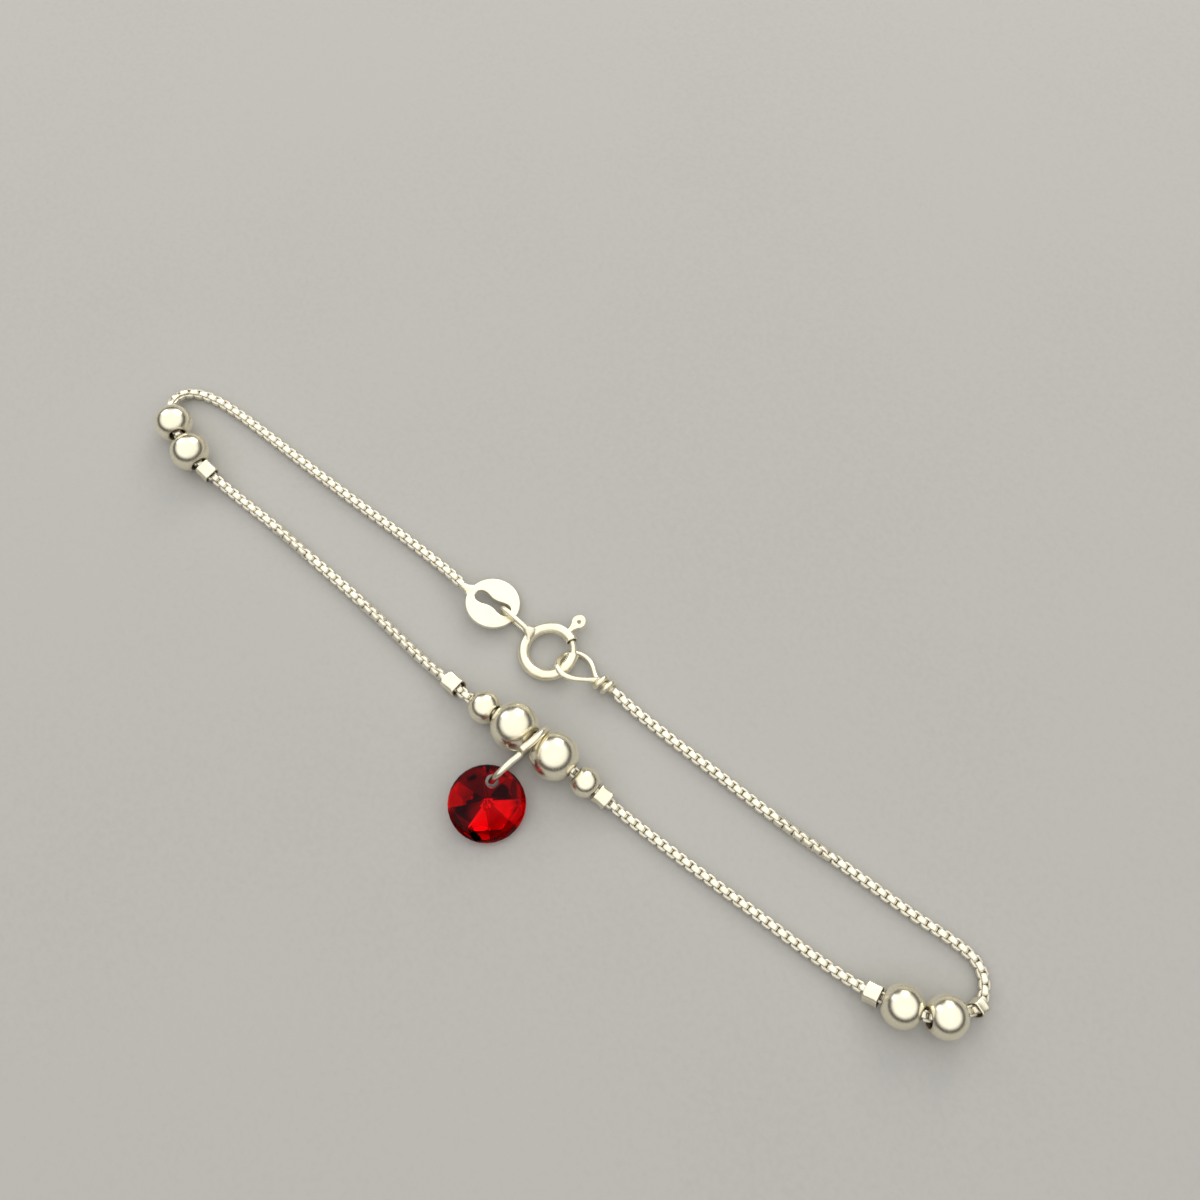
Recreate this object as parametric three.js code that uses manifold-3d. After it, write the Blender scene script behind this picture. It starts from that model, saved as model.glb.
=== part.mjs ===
// A fine silver box-chain bracelet, lying on a flat surface as one long closed loop.
// Eight drilled beads and five crimps sit on the chain. A spring-ring clasp joins a round
// tag at one end of the chain to a wire loop at the other, and an oval jump ring hangs one
// round faceted crystal drop between the two biggest beads.
//
// Millimetres, +Z up. The origin lies on the surface, under the middle of the outline.
// +X runs along the loop from the left bend to the right bend, and +Y points at the run
// of chain that holds the clasp.

import * as THREE from 'three';
import { mergeVertices } from 'three/addons/utils/BufferGeometryUtils.js';
import Module from 'manifold-3d';

const wasm = await Module();
wasm.setup();

// ---------------------------------------------------------------- driving dimensions

const CHAIN_DIAMETER = 1.0;
const CHAIN_STEPS = 80;
const CHAIN_SIDES = 8;
const MOUTH_SEARCH_STEP = 0.01;
const SEAT_SETTLING = 0.35;

const BEADS = {
  left_bead_1: { diameter: 3.85, bore: 1.6 },
  left_bead_2: { diameter: 3.95, bore: 1.6 },
  center_small_bead_left: { diameter: 3.2, bore: 1.5 },
  center_big_bead_left: { diameter: 4.65, bore: 1.6 },
  center_big_bead_right: { diameter: 4.65, bore: 1.6 },
  center_small_bead_right: { diameter: 2.9, bore: 1.5 },
  right_bead_1: { diameter: 3.95, bore: 1.6 },
  right_bead_2: { diameter: 3.95, bore: 1.6 },
};
const BEAD_LIP = 0.12;
const BEAD_REACH = 0.45;
const BEAD_ARC_STEPS = 9;
const BEAD_SIDES = 18;

const CRIMPS = {
  left_crimp: { length: 1.5, width: 2.05, height: 1.75, bore: 1.4 },
  center_crimp_left: { length: 1.75, width: 1.8, height: 1.8, bore: 1.4 },
  center_crimp_right: { length: 1.4, width: 1.8, height: 1.8, bore: 1.4 },
  right_crimp: { length: 1.4, width: 1.8, height: 1.8, bore: 1.4 },
  end_crimp: { length: 1.0, width: 1.55, height: 1.55, bore: 1.34 },
};
const CRIMP_CORNER = 0.55;
const CRIMP_BORE_SIDES = 12;

const TAG_DIAMETER = 5.44;
const TAG_THICKNESS = 0.45;
const TAG_CENTER = new THREE.Vector3(-8.4, 7.6, 1.02);
const TAG_SLOT = { lobeDiameter: 1.3, lobeSpacing: 2.72, neckWidth: 0.8 };
const TAG_NECK = { width: 0.8, reach: 0.8, sink: 0.4, thickness: 0.6 };
const TAG_TILT = { x: -8, y: 2.5, z: 7.4 };

const RING_CENTER = new THREE.Vector3(-0.92, 7.2, 0.87);
const RING_RADIUS = 2.47;
const RING_TUBE = 1.15;
const RING_BORE = 0.88;
const RING_MOUTH = { from: 28, to: 60 };
const RING_SLOT = { from: 75.5, to: 129.5, width: 0.78 };
const RING_TILT = { x: 4, y: -5 };
const CUTTER_INNER_RADIUS = 0.5;
const RING_SEGMENTS = 36;
const RING_SIDES = 10;

const BOLT = { diameter: 0.58, from: 18, to: 100 };
const STEM = { diameter: 0.55, angle: 82.5 };
const KNOB = { diameter: 1.45, thickness: 0.6, hole: 0.34, radius: 4.17 };

const EYE_WIRE = 0.52;
const LOOP_WIRE = 0.56;
const LOOP_STEM = 0.84;
const WRAP = { wire: 0.52, radius: 0.62, pitch: 0.85, turns: 2 };

const JUMP_RING = { length: 7.15, height: 3.9, wire: 0.56, cut: 0.08 };

const CRYSTAL = { diameter: 7.25, thickness: 3.3, girdle: 0.5, hole: 1.45, holeOffset: 2.2 };
const CRYSTAL_SIDES = 16;
const DRILL_LENGTH = 4;

// ---------------------------------------------------------------- route of the chain

const at = (x, y, z) => new THREE.Vector3(x, y, z);

// Centres of the beads and crimps, in the order in which the chain passes them
const STATIONS = {
  left_bead_1: at(-47.47, 2.1, 1.98),
  left_bead_2: at(-43.7, 0.72, 1.99),
  left_crimp: at(-41.05, 0.42, 1.3),
  center_crimp_left: at(-5.95, -1.2, 1.03),
  center_small_bead_left: at(-1.86, -1.25, 1.66),
  center_big_bead_left: at(1.77, -1.04, 2.36),
  center_big_bead_right: at(6.55, -0.96, 2.36),
  center_small_bead_right: at(10.26, -0.95, 1.46),
  center_crimp_right: at(12.3, -0.94, 1.05),
  right_crimp: at(42.0, 0.0, 1.3),
  right_bead_1: at(44.55, 0.58, 2.01),
  right_bead_2: at(48.16, 2.18, 2.03),
  end_crimp: at(49.98, 4.9, 0.95),
};

const ROUTE = [
  // back run, from the tag's neck to the left bend
  at(-12.25, 7.25, 1.12),
  at(-13.8, 7.45, 0.88),
  at(-16.2, 7.6, 0.6),
  at(-21, 7.65, 0.51),
  at(-27.5, 7.53, 0.51),
  at(-34, 7.52, 0.51),
  at(-40, 7.57, 0.51),
  at(-44.2, 7.5, 0.51),
  at(-46.6, 7.27, 0.51),
  at(-48.6, 6.7, 0.55),
  at(-49.75, 5.8, 0.68),
  at(-50, 4.75, 0.95),
  at(-49.35, 3.4, 1.5),
  // left beads, and the front run to the centre group
  STATIONS.left_bead_1,
  STATIONS.left_bead_2,
  STATIONS.left_crimp,
  at(-39.6, 0.4, 0.83),
  at(-37, 0.38, 0.55),
  at(-31, 0.32, 0.51),
  at(-25, 0, 0.51),
  at(-19.5, -0.29, 0.51),
  at(-14, -0.74, 0.51),
  at(-10, -1.13, 0.53),
  at(-7.8, -1.2, 0.68),
  STATIONS.center_crimp_left,
  at(-4.3, -1.4, 1.2),
  STATIONS.center_small_bead_left,
  STATIONS.center_big_bead_left,
  STATIONS.center_big_bead_right,
  STATIONS.center_small_bead_right,
  STATIONS.center_crimp_right,
  // front run to the right beads
  at(14.2, -0.98, 0.68),
  at(16.8, -0.98, 0.51),
  at(23, -0.87, 0.51),
  at(30, -0.65, 0.51),
  at(36, -0.48, 0.51),
  at(39.6, -0.25, 0.68),
  STATIONS.right_crimp,
  STATIONS.right_bead_1,
  at(46.45, 1.1, 2.12),
  STATIONS.right_bead_2,
  at(49.3, 3.8, 1.45),
  STATIONS.end_crimp,
  // right bend, and the back run to the wire loop
  at(49.85, 6, 0.7),
  at(49.1, 7.35, 0.55),
  at(47.7, 8.25, 0.51),
  at(45.5, 8.45, 0.51),
  at(41, 8.15, 0.51),
  at(34, 7.9, 0.51),
  at(27, 7.62, 0.51),
  at(20, 7.6, 0.51),
  at(13.4, 7.62, 0.51),
  at(9.2, 7.72, 0.55),
  at(6.95, 7.9, 0.75),
];

// A curve whose equal steps follow its chosen points, so close points give short steps
class PointedCurve extends THREE.CatmullRomCurve3 {
  getUtoTmapping(u) {
    return u;
  }
}

const chainCurve = new PointedCurve(ROUTE);

// Where the chain leaves a bore that reaches so far from its station, one way or the other
function mouthPoint(station, reach, way) {
  const spans = ROUTE.length - 1;
  const index = ROUTE.indexOf(station);
  let share = 0;
  let mouth = station;
  while (mouth.distanceTo(station) < reach) {
    share += MOUTH_SEARCH_STEP;
    mouth = chainCurve.getPoint((index + way * share) / spans);
  }
  return mouth;
}

// Straight seat of a bore on the curved chain: its axis, and a middle that evens the play
function seatAt(station, reach) {
  const entry = mouthPoint(station, reach, -1);
  const exit = mouthPoint(station, reach, 1);
  const chordMiddle = entry.clone().add(exit).multiplyScalar(0.5);
  return { axis: exit.sub(entry).normalize(), middle: station.clone().lerp(chordMiddle, SEAT_SETTLING) };
}

// ---------------------------------------------------------------- solids

const { cos, sin, PI } = Math;
const radians = THREE.MathUtils.degToRad;

function toSolid(geometry) {
  const bare = geometry.index ? geometry.toNonIndexed() : geometry.clone();
  bare.deleteAttribute('normal');
  bare.deleteAttribute('uv');
  const merged = mergeVertices(bare, 1e-5);
  return new wasm.Manifold(
    new wasm.Mesh({
      numProp: 3,
      vertProperties: new Float32Array(merged.attributes.position.array),
      triVerts: new Uint32Array(merged.index.array),
    }),
  );
}

function toGeometry(solid) {
  const { vertProperties, triVerts, numProp } = solid.getMesh();
  const geometry = new THREE.BufferGeometry();
  geometry.setAttribute('position', new THREE.BufferAttribute(vertProperties, numProp));
  geometry.setIndex(new THREE.BufferAttribute(triVerts, 1));
  geometry.computeVertexNormals();
  return geometry;
}

function joined(...geometries) {
  return geometries.map(toSolid).reduce((whole, piece) => whole.add(piece));
}

function circleShape(diameter, sides) {
  const shape = new THREE.Shape();
  for (let side = 0; side < sides; side += 1) {
    const angle = (2 * PI * (side + 0.5)) / sides;
    const corner = [(diameter / 2) * cos(angle), (diameter / 2) * sin(angle)];
    if (side === 0) shape.moveTo(...corner);
    else shape.lineTo(...corner);
  }
  shape.closePath();
  return shape;
}

// A round wire along a curve, with flat ends
function wire(curve, diameter, steps, sides = 8) {
  return new THREE.ExtrudeGeometry(circleShape(diameter, sides), { steps, extrudePath: curve });
}

// An upright plate of a shape, centred on the XY plane
function plate(shape, thickness, curveSegments = 8) {
  const geometry = new THREE.ExtrudeGeometry(shape, {
    depth: thickness,
    bevelEnabled: false,
    curveSegments,
  });
  return geometry.translate(0, 0, -thickness / 2);
}

// A flat ring sector about the origin, angles in degrees
function sectorShape(innerRadius, outerRadius, fromAngle, toAngle) {
  const shape = new THREE.Shape();
  shape.absarc(0, 0, outerRadius, radians(fromAngle), radians(toAngle), false);
  shape.absarc(0, 0, innerRadius, radians(toAngle), radians(fromAngle), true);
  shape.closePath();
  return shape;
}

// ---------------------------------------------------------------- materials

const silver = (color, roughness) =>
  new THREE.MeshStandardMaterial({ color, roughness, metalness: 1 });

const chainSilver = silver(0xd5d0c8, 0.32);
const beadSilver = silver(0xcfc9c0, 0.16);
const crimpSilver = silver(0xcac4ba, 0.3);
const claspSilver = silver(0xd2ccc3, 0.2);
const wireSilver = silver(0xcdc8c0, 0.24);
const redCrystal = new THREE.MeshStandardMaterial({
  color: 0xa80f24,
  roughness: 0.05,
  metalness: 0,
});

// ---------------------------------------------------------------- assembly

const bracelet = new THREE.Group();

function addPiece(name, geometry, material, parent = bracelet) {
  const mesh = new THREE.Mesh(geometry, material);
  mesh.name = name;
  parent.add(mesh);
  return mesh;
}

// Seats a piece built about its own axis on the chain, at the station of its name
function threadOn(mesh, ownAxis, reach) {
  const seat = seatAt(STATIONS[mesh.name], reach);
  mesh.position.copy(seat.middle);
  mesh.quaternion.setFromUnitVectors(ownAxis, seat.axis);
}

// ---------------------------------------------------------------- chain

addPiece('box_chain', wire(chainCurve, CHAIN_DIAMETER, CHAIN_STEPS, CHAIN_SIDES), chainSilver);

// ---------------------------------------------------------------- beads

// Section of a drilled round bead: up the outside, then down the bore to where it began
function beadOutline({ diameter, bore }) {
  const radius = diameter / 2;
  const boreRadius = bore / 2;
  const mouthAngle = Math.acos((boreRadius + BEAD_LIP) / radius);
  const outline = [];
  for (let step = 0; step <= BEAD_ARC_STEPS; step += 1) {
    const angle = THREE.MathUtils.lerp(-mouthAngle, mouthAngle, step / BEAD_ARC_STEPS);
    outline.push(new THREE.Vector2(radius * cos(angle), radius * sin(angle)));
  }
  const boreHalfLength = radius * sin(mouthAngle) - BEAD_LIP / 2;
  outline.push(new THREE.Vector2(boreRadius, boreHalfLength));
  outline.push(new THREE.Vector2(boreRadius, -boreHalfLength));
  outline.push(outline[0].clone());
  return outline;
}

for (const [name, size] of Object.entries(BEADS)) {
  const geometry = new THREE.LatheGeometry(beadOutline(size), BEAD_SIDES);
  threadOn(addPiece(name, geometry, beadSilver), at(0, 1, 0), BEAD_REACH * size.diameter);
}

// ---------------------------------------------------------------- crimps

// Section of a squashed crimp: a rectangle with round corners, and the round bore
function crimpShape({ width, height, bore }) {
  const reachX = width / 2 - CRIMP_CORNER;
  const reachY = height / 2 - CRIMP_CORNER;
  const shape = new THREE.Shape();
  shape.absarc(reachX, reachY, CRIMP_CORNER, 0, PI / 2, false);
  shape.absarc(-reachX, reachY, CRIMP_CORNER, PI / 2, PI, false);
  shape.absarc(-reachX, -reachY, CRIMP_CORNER, PI, 1.5 * PI, false);
  shape.absarc(reachX, -reachY, CRIMP_CORNER, 1.5 * PI, 2 * PI, false);
  shape.closePath();
  shape.holes.push(circleShape(bore, CRIMP_BORE_SIDES));
  return shape;
}

for (const [name, size] of Object.entries(CRIMPS)) {
  const geometry = plate(crimpShape(size), size.length, 3);
  threadOn(addPiece(name, geometry, crimpSilver), at(0, 0, 1), size.length / 2);
}

// ---------------------------------------------------------------- tag

// Round tag with a slot of two round lobes joined by a narrow neck
function tagShape() {
  const lobeRadius = TAG_SLOT.lobeDiameter / 2;
  const lobeX = TAG_SLOT.lobeSpacing / 2;
  const neckAngle = Math.asin(TAG_SLOT.neckWidth / 2 / lobeRadius);
  const slot = new THREE.Path();
  slot.absarc(lobeX, 0, lobeRadius, neckAngle - PI, PI - neckAngle, false);
  slot.absarc(-lobeX, 0, lobeRadius, neckAngle, 2 * PI - neckAngle, false);
  slot.closePath();
  const shape = new THREE.Shape();
  shape.absarc(0, 0, TAG_DIAMETER / 2, 0, 2 * PI, false);
  shape.holes.push(slot);
  return shape;
}

// Short tongue of solder that carries the chain's first link at the tag's rim
function tagNeckShape() {
  const rim = -TAG_DIAMETER / 2;
  const half = TAG_NECK.width / 2;
  const shape = new THREE.Shape();
  shape.moveTo(rim + TAG_NECK.sink, -2 * half);
  shape.lineTo(rim + TAG_NECK.sink, 2 * half);
  shape.lineTo(rim, 1.5 * half);
  shape.lineTo(rim - 0.4 * TAG_NECK.reach, half);
  shape.lineTo(rim - TAG_NECK.reach, half);
  shape.lineTo(rim - TAG_NECK.reach, -half);
  shape.lineTo(rim - 0.4 * TAG_NECK.reach, -half);
  shape.lineTo(rim, -1.5 * half);
  shape.closePath();
  return shape;
}

function addTag() {
  const disc = plate(tagShape(), TAG_THICKNESS, 16);
  const neck = plate(tagNeckShape(), TAG_NECK.thickness);
  const tag = addPiece('clasp_tag', toGeometry(joined(disc, neck)), claspSilver);
  tag.position.copy(TAG_CENTER);
  tag.rotation.set(radians(TAG_TILT.x), radians(TAG_TILT.y), radians(TAG_TILT.z));
}

addTag();

// ---------------------------------------------------------------- spring ring

// The clasp leans a little, because the wire loop lifts its far side
const clasp = new THREE.Group();
clasp.position.copy(RING_CENTER);
clasp.rotation.set(radians(RING_TILT.x), radians(RING_TILT.y), 0);
bracelet.add(clasp);
clasp.updateMatrixWorld();

// Long wire eye, soldered to the ring: over the tag's rim, down its slot and back below it
function eyeCurve() {
  const eyePoints = [
    at(-3.3, 7.55, 1.0),
    at(-3.95, 7.57, 1.36),
    at(-4.9, 7.62, 1.5),
    at(-6.5, 7.72, 1.5),
    at(-7.1, 7.76, 1.32),
    at(-7.36, 7.78, 0.89),
    at(-7.1, 7.76, 0.46),
    at(-6.5, 7.72, 0.28),
    at(-4.9, 7.62, 0.27),
    at(-3.95, 7.57, 0.29),
    at(-3.3, 7.55, 0.45),
  ];
  return new PointedCurve(eyePoints.map((eyePoint) => clasp.worldToLocal(eyePoint)));
}

function torus(radius, diameter, sides) {
  return toSolid(new THREE.TorusGeometry(radius, diameter / 2, sides, RING_SEGMENTS));
}

function sector(innerRadius, outerRadius, { from, to }, thickness) {
  return toSolid(plate(sectorShape(innerRadius, outerRadius, from, to), thickness));
}

function addSpringRing() {
  const outer = RING_RADIUS + RING_TUBE;
  const body = torus(RING_RADIUS, RING_TUBE, RING_SIDES)
    .add(toSolid(wire(eyeCurve(), EYE_WIRE, 20)))
    .subtract(torus(RING_RADIUS, RING_BORE, RING_SIDES))
    .subtract(sector(CUTTER_INNER_RADIUS, outer, RING_MOUTH, 2 * RING_TUBE))
    .subtract(sector(RING_RADIUS, outer, RING_SLOT, RING_SLOT.width));
  addPiece('spring_ring', toGeometry(body), claspSilver, clasp);
}

// Bolt that closes the ring's mouth, with the stem and knob that a fingernail pulls
function addLever() {
  const boltSpan = sector(CUTTER_INNER_RADIUS, RING_RADIUS + RING_TUBE, BOLT, 2 * BOLT.diameter);
  const bolt = torus(RING_RADIUS, BOLT.diameter, 8).intersect(boltSpan);
  const stemLength = KNOB.radius - RING_RADIUS - 0.3 * KNOB.diameter;
  const stem = new THREE.CylinderGeometry(STEM.diameter / 2, STEM.diameter / 2, stemLength, 10);
  stem.translate(0, RING_RADIUS + stemLength / 2, 0);
  const knobShape = circleShape(KNOB.diameter, 24);
  knobShape.holes.push(circleShape(KNOB.hole, 8));
  const knob = plate(knobShape, KNOB.thickness).translate(0, KNOB.radius, 0);
  const turn = radians(STEM.angle - 90);
  const lever = bolt.add(joined(stem.rotateZ(turn), knob.rotateZ(turn)));
  addPiece('clasp_lever', toGeometry(lever), claspSilver, clasp);
}

addSpringRing();
addLever();

// ---------------------------------------------------------------- wire loop

// Ends of the stem where both strands meet and the wire is wound round them
const STEM_NEAR = at(4.72, 7.82, 0.95);
const STEM_FAR = at(6.48, 7.9, 0.93);

// Teardrop loop: over the ring's tube, down through the ring and back under the bolt
function loopCurve() {
  return new PointedCurve([
    STEM_NEAR,
    at(3.9, 6.95, 1.45),
    at(2.9, 6.15, 1.95),
    at(1.9, 5.87, 2.15),
    at(1.02, 6.2, 1.95),
    at(0.58, 6.95, 1.3),
    at(0.5, 7.75, 0.62),
    at(0.72, 8.45, 0.36),
    at(1.35, 8.92, 0.3),
    at(2.2, 9.07, 0.42),
    at(2.97, 8.93, 0.6),
    at(3.65, 8.55, 0.72),
    at(4.2, 8.12, 0.8),
    STEM_NEAR,
  ]);
}

// Helix of wire wound round the line between the stem's ends
class WrapCurve extends THREE.Curve {
  getPoint(t, target = new THREE.Vector3()) {
    const turned = 2 * PI * WRAP.turns * t;
    const along = STEM_FAR.clone().sub(STEM_NEAR).normalize();
    const middle = STEM_NEAR.clone().add(STEM_FAR).multiplyScalar(0.5);
    const side = new THREE.Vector3().crossVectors(at(0, 0, 1), along).normalize();
    const up = new THREE.Vector3().crossVectors(along, side);
    return target
      .copy(middle)
      .addScaledVector(along, WRAP.pitch * WRAP.turns * (t - 0.5))
      .addScaledVector(side, -WRAP.radius * sin(turned))
      .addScaledVector(up, -WRAP.radius * cos(turned));
  }
}

function addWireLoop() {
  const stemLine = new THREE.LineCurve3(STEM_NEAR, STEM_FAR);
  const solid = joined(
    wire(loopCurve(), LOOP_WIRE, 30),
    wire(stemLine, LOOP_STEM, 1),
    wire(new WrapCurve(), WRAP.wire, 20),
  );
  addPiece('wire_loop', toGeometry(solid), wireSilver);
}

addWireLoop();

// ---------------------------------------------------------------- jump ring

const JUMP_FAR_END = at(4.32, 0.65, 2.45);
const JUMP_NEAR_END = at(3.5, -6.45, 2.42);

// Long oval with straight sides, drawn from its cut once round to the cut again
class OvalCurve extends THREE.Curve {
  getPoint(t, target = new THREE.Vector3()) {
    const endRadius = JUMP_RING.height / 2;
    const straight = JUMP_RING.length - JUMP_RING.height;
    const perimeter = 2 * straight + 2 * PI * endRadius;
    const travelled = JUMP_RING.cut / 2 + (perimeter - JUMP_RING.cut) * t;
    const arc = PI * endRadius;
    const firstSide = straight / 2;
    if (travelled < firstSide) return target.set(travelled, endRadius, 0);
    if (travelled < firstSide + arc) {
      const angle = (travelled - firstSide) / endRadius;
      return target.set(firstSide + endRadius * sin(angle), endRadius * cos(angle), 0);
    }
    if (travelled < firstSide + arc + straight) {
      return target.set(firstSide - (travelled - firstSide - arc), -endRadius, 0);
    }
    if (travelled < firstSide + 2 * arc + straight) {
      const angle = (travelled - firstSide - arc - straight) / endRadius;
      return target.set(-firstSide - endRadius * sin(angle), -endRadius * cos(angle), 0);
    }
    return target.set(travelled - perimeter, endRadius, 0);
  }
}

function addJumpRing() {
  const geometry = wire(new OvalCurve(), JUMP_RING.wire, 44);
  const ring = addPiece('jump_ring', geometry, wireSilver);
  const along = JUMP_NEAR_END.clone().sub(JUMP_FAR_END).normalize();
  const leaning = at(0.21, 0, 0.98);
  const across = new THREE.Vector3().crossVectors(along, leaning).normalize();
  const up = new THREE.Vector3().crossVectors(across, along);
  ring.quaternion.setFromRotationMatrix(new THREE.Matrix4().makeBasis(along, up, across));
  ring.position.copy(JUMP_NEAR_END).add(JUMP_FAR_END).multiplyScalar(0.5);
}

addJumpRing();

// ---------------------------------------------------------------- crystal drop

// Axis of the crystal as it rests on its back facets, and the way from its middle to the hole
const CRYSTAL_CENTER = at(4.4, -8.26, 1.66);
const CRYSTAL_AXIS = at(0.33, -0.2, 0.92).normalize();

// Round stone with a blunt point at the front and back and a narrow upright edge
function addCrystal() {
  const radius = CRYSTAL.diameter / 2;
  const outline = [
    new THREE.Vector2(0, -CRYSTAL.thickness / 2),
    new THREE.Vector2(radius, -CRYSTAL.girdle / 2),
    new THREE.Vector2(radius, CRYSTAL.girdle / 2),
    new THREE.Vector2(0, CRYSTAL.thickness / 2),
  ];
  const stone = new THREE.LatheGeometry(outline, CRYSTAL_SIDES);
  const drillRadius = CRYSTAL.hole / 2;
  const drill = new THREE.CylinderGeometry(drillRadius, drillRadius, DRILL_LENGTH, 16);
  drill.translate(0, 0, CRYSTAL.holeOffset);
  const drilled = toGeometry(toSolid(stone).subtract(toSolid(drill)));
  const crystal = addPiece('crystal_drop', drilled, redCrystal);
  const toHole = JUMP_NEAR_END.clone().sub(CRYSTAL_CENTER);
  const across = new THREE.Vector3().crossVectors(CRYSTAL_AXIS, toHole).normalize();
  const holeWay = new THREE.Vector3().crossVectors(across, CRYSTAL_AXIS);
  const basis = new THREE.Matrix4().makeBasis(across, CRYSTAL_AXIS, holeWay);
  crystal.quaternion.setFromRotationMatrix(basis);
  crystal.position.copy(CRYSTAL_CENTER);
}

addCrystal();

export default bracelet;
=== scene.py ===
"""Looks of a fine silver box-chain bracelet that lies as one long closed loop.

Every length in the classes below is in millimetres. Finished meshes are in metres, in the frame of
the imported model: +Z up, +X along the loop and +Y towards the run of chain that holds the clasp.
"""

import sys

import logging
import math
from collections.abc import Callable, Iterable, Sequence
from dataclasses import dataclass, field
from enum import Enum
from typing import Self

import bmesh
import bpy
from mathutils import Matrix, Vector


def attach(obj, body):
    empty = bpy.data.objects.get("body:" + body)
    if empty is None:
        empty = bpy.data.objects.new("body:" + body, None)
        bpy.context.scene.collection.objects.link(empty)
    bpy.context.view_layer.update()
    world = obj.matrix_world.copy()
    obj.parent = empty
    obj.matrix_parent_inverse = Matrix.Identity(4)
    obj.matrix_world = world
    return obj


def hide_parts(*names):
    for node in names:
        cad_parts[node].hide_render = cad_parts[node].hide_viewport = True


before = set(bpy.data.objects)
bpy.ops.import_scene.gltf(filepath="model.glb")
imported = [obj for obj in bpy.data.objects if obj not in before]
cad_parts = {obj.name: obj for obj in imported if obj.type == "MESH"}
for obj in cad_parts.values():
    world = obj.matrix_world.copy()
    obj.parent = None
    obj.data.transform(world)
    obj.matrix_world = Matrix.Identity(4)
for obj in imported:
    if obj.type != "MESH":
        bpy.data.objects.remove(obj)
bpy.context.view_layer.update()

LOG = logging.getLogger("bracelet")
METRES = 0.001
TAU = 2 * math.pi
UP = Vector((0, 0, 1))
WHOLE = "bracelet"
LEVER = "lever"
WIRE_STEP = 0.12
EDGE_DEGREES = 50.0
TURNED_EDGE_DEGREES = 60.0

Span = tuple[float, float]
Point = tuple[float, float, float]
Colour = tuple[float, float, float]
Settings = dict[str, object]
Inputs = dict[str | int, object]


# ------------------------------------------------------------------------------ small maths


def smooth_step(low: float, high: float, value: float) -> float:
    """Smooth share of the way from low to high.

    Args:
        low: value at which the share is 0.
        high: value at which the share is 1.
        value: the value asked about.

    Returns:
        A number from 0 to 1.
    """
    share = min(1.0, max(0.0, (value - low) / (high - low)))
    return share * share * (3 - 2 * share)


def spaced(low: float, high: float, steps: int) -> list[float]:
    """Evenly spaced values from low to high, with both ends."""
    return [low + (high - low) * step / steps for step in range(steps + 1)]


def once_round(steps: int) -> list[float]:
    """Evenly spaced angles in radians, once round from 0."""
    return [TAU * step / steps for step in range(steps)]


def polar(radius: float, angle: float, height: float = 0.0) -> Vector:
    """Point at a radius and an angle in radians about the Z axis."""
    return Vector((radius * math.cos(angle), radius * math.sin(angle), height))


def upright_ring(middle: Point, half_y: float, half_z: float, sides: int) -> list[Vector]:
    """Points once round an ellipse that stands across the X axis.

    Args:
        middle: its middle.
        half_y: half its width.
        half_z: half its height.
        sides: number of points.

    Returns:
        The points.
    """
    x, y, z = middle
    return [Vector((x, y + half_y * math.cos(a), z + half_z * math.sin(a))) for a in once_round(sides)]


def tilted(center: Point, degrees: Sequence[float]) -> Matrix:
    """Placing matrix of a part that lies tilted.

    Args:
        center: where its middle goes.
        degrees: its turns about the X axis, the Y axis and, where there is a third, the Z axis.

    Returns:
        A 4 by 4 matrix.
    """
    place = Matrix.Translation(center)
    for angle, axis in zip(degrees, "XYZ", strict=False):
        place = place @ Matrix.Rotation(math.radians(angle), 4, axis)
    return place


def lengthwise_frame(origin: Vector, along: Vector, up: Vector) -> Matrix:
    """Placing matrix whose Z axis is along and whose Y axis leans towards up.

    Args:
        origin: where the local origin goes.
        along: direction of the local Z axis.
        up: direction that the local Y axis is nearest to.

    Returns:
        A 4 by 4 matrix.
    """
    z_axis = along.normalized()
    x_axis = up.cross(z_axis).normalized()
    y_axis = z_axis.cross(x_axis)
    turn = Matrix((x_axis, y_axis, z_axis)).transposed()
    return Matrix.Translation(origin) @ turn.to_4x4()


class CentripetalCurve:
    """Smooth open curve through points, with parameter whole numbers at the points."""

    def __init__(self, way: Sequence[Point]) -> None:
        """Keeps the points, with one more beyond each end to steer the end spans.

        Args:
            way: the points in order.
        """
        points = [Vector(point) for point in way]
        self.points = [2 * points[0] - points[1], *points, 2 * points[-1] - points[-2]]
        self.spans = len(points) - 1

    def at(self, position: float) -> Vector:
        """Point of the curve.

        Args:
            position: from 0 to the number of spans.

        Returns:
            The point, in the units of the curve's points.
        """
        span = min(int(position), self.spans - 1)
        share = position - span
        before, start, end, after = self.points[span : span + 4]
        first, middle, last = (
            (b - a).length ** 0.5 for a, b in ((before, start), (start, end), (end, after))
        )
        leaving = (start - before) / first - (end - before) / (first + middle) + (end - start) / middle
        arriving = (end - start) / middle - (after - start) / (middle + last) + (after - end) / last
        leaving *= middle
        arriving *= middle
        square = 3 * (end - start) - 2 * leaving - arriving
        cube = 2 * (start - end) + leaving + arriving
        return start + share * (leaving + share * (square + share * cube))

    def sampled(self, step: float) -> list[Vector]:
        """Points along the whole curve, both ends in.

        Args:
            step: about the greatest distance between two points.

        Returns:
            The points in order.
        """
        found = [self.at(0)]
        for span in range(self.spans):
            length = (self.at(span + 1) - self.at(span)).length
            pieces = max(2, math.ceil(length / step))
            found += [self.at(span + piece / pieces) for piece in range(1, pieces + 1)]
        return found


# ------------------------------------------------------------------------------ meshes


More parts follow.
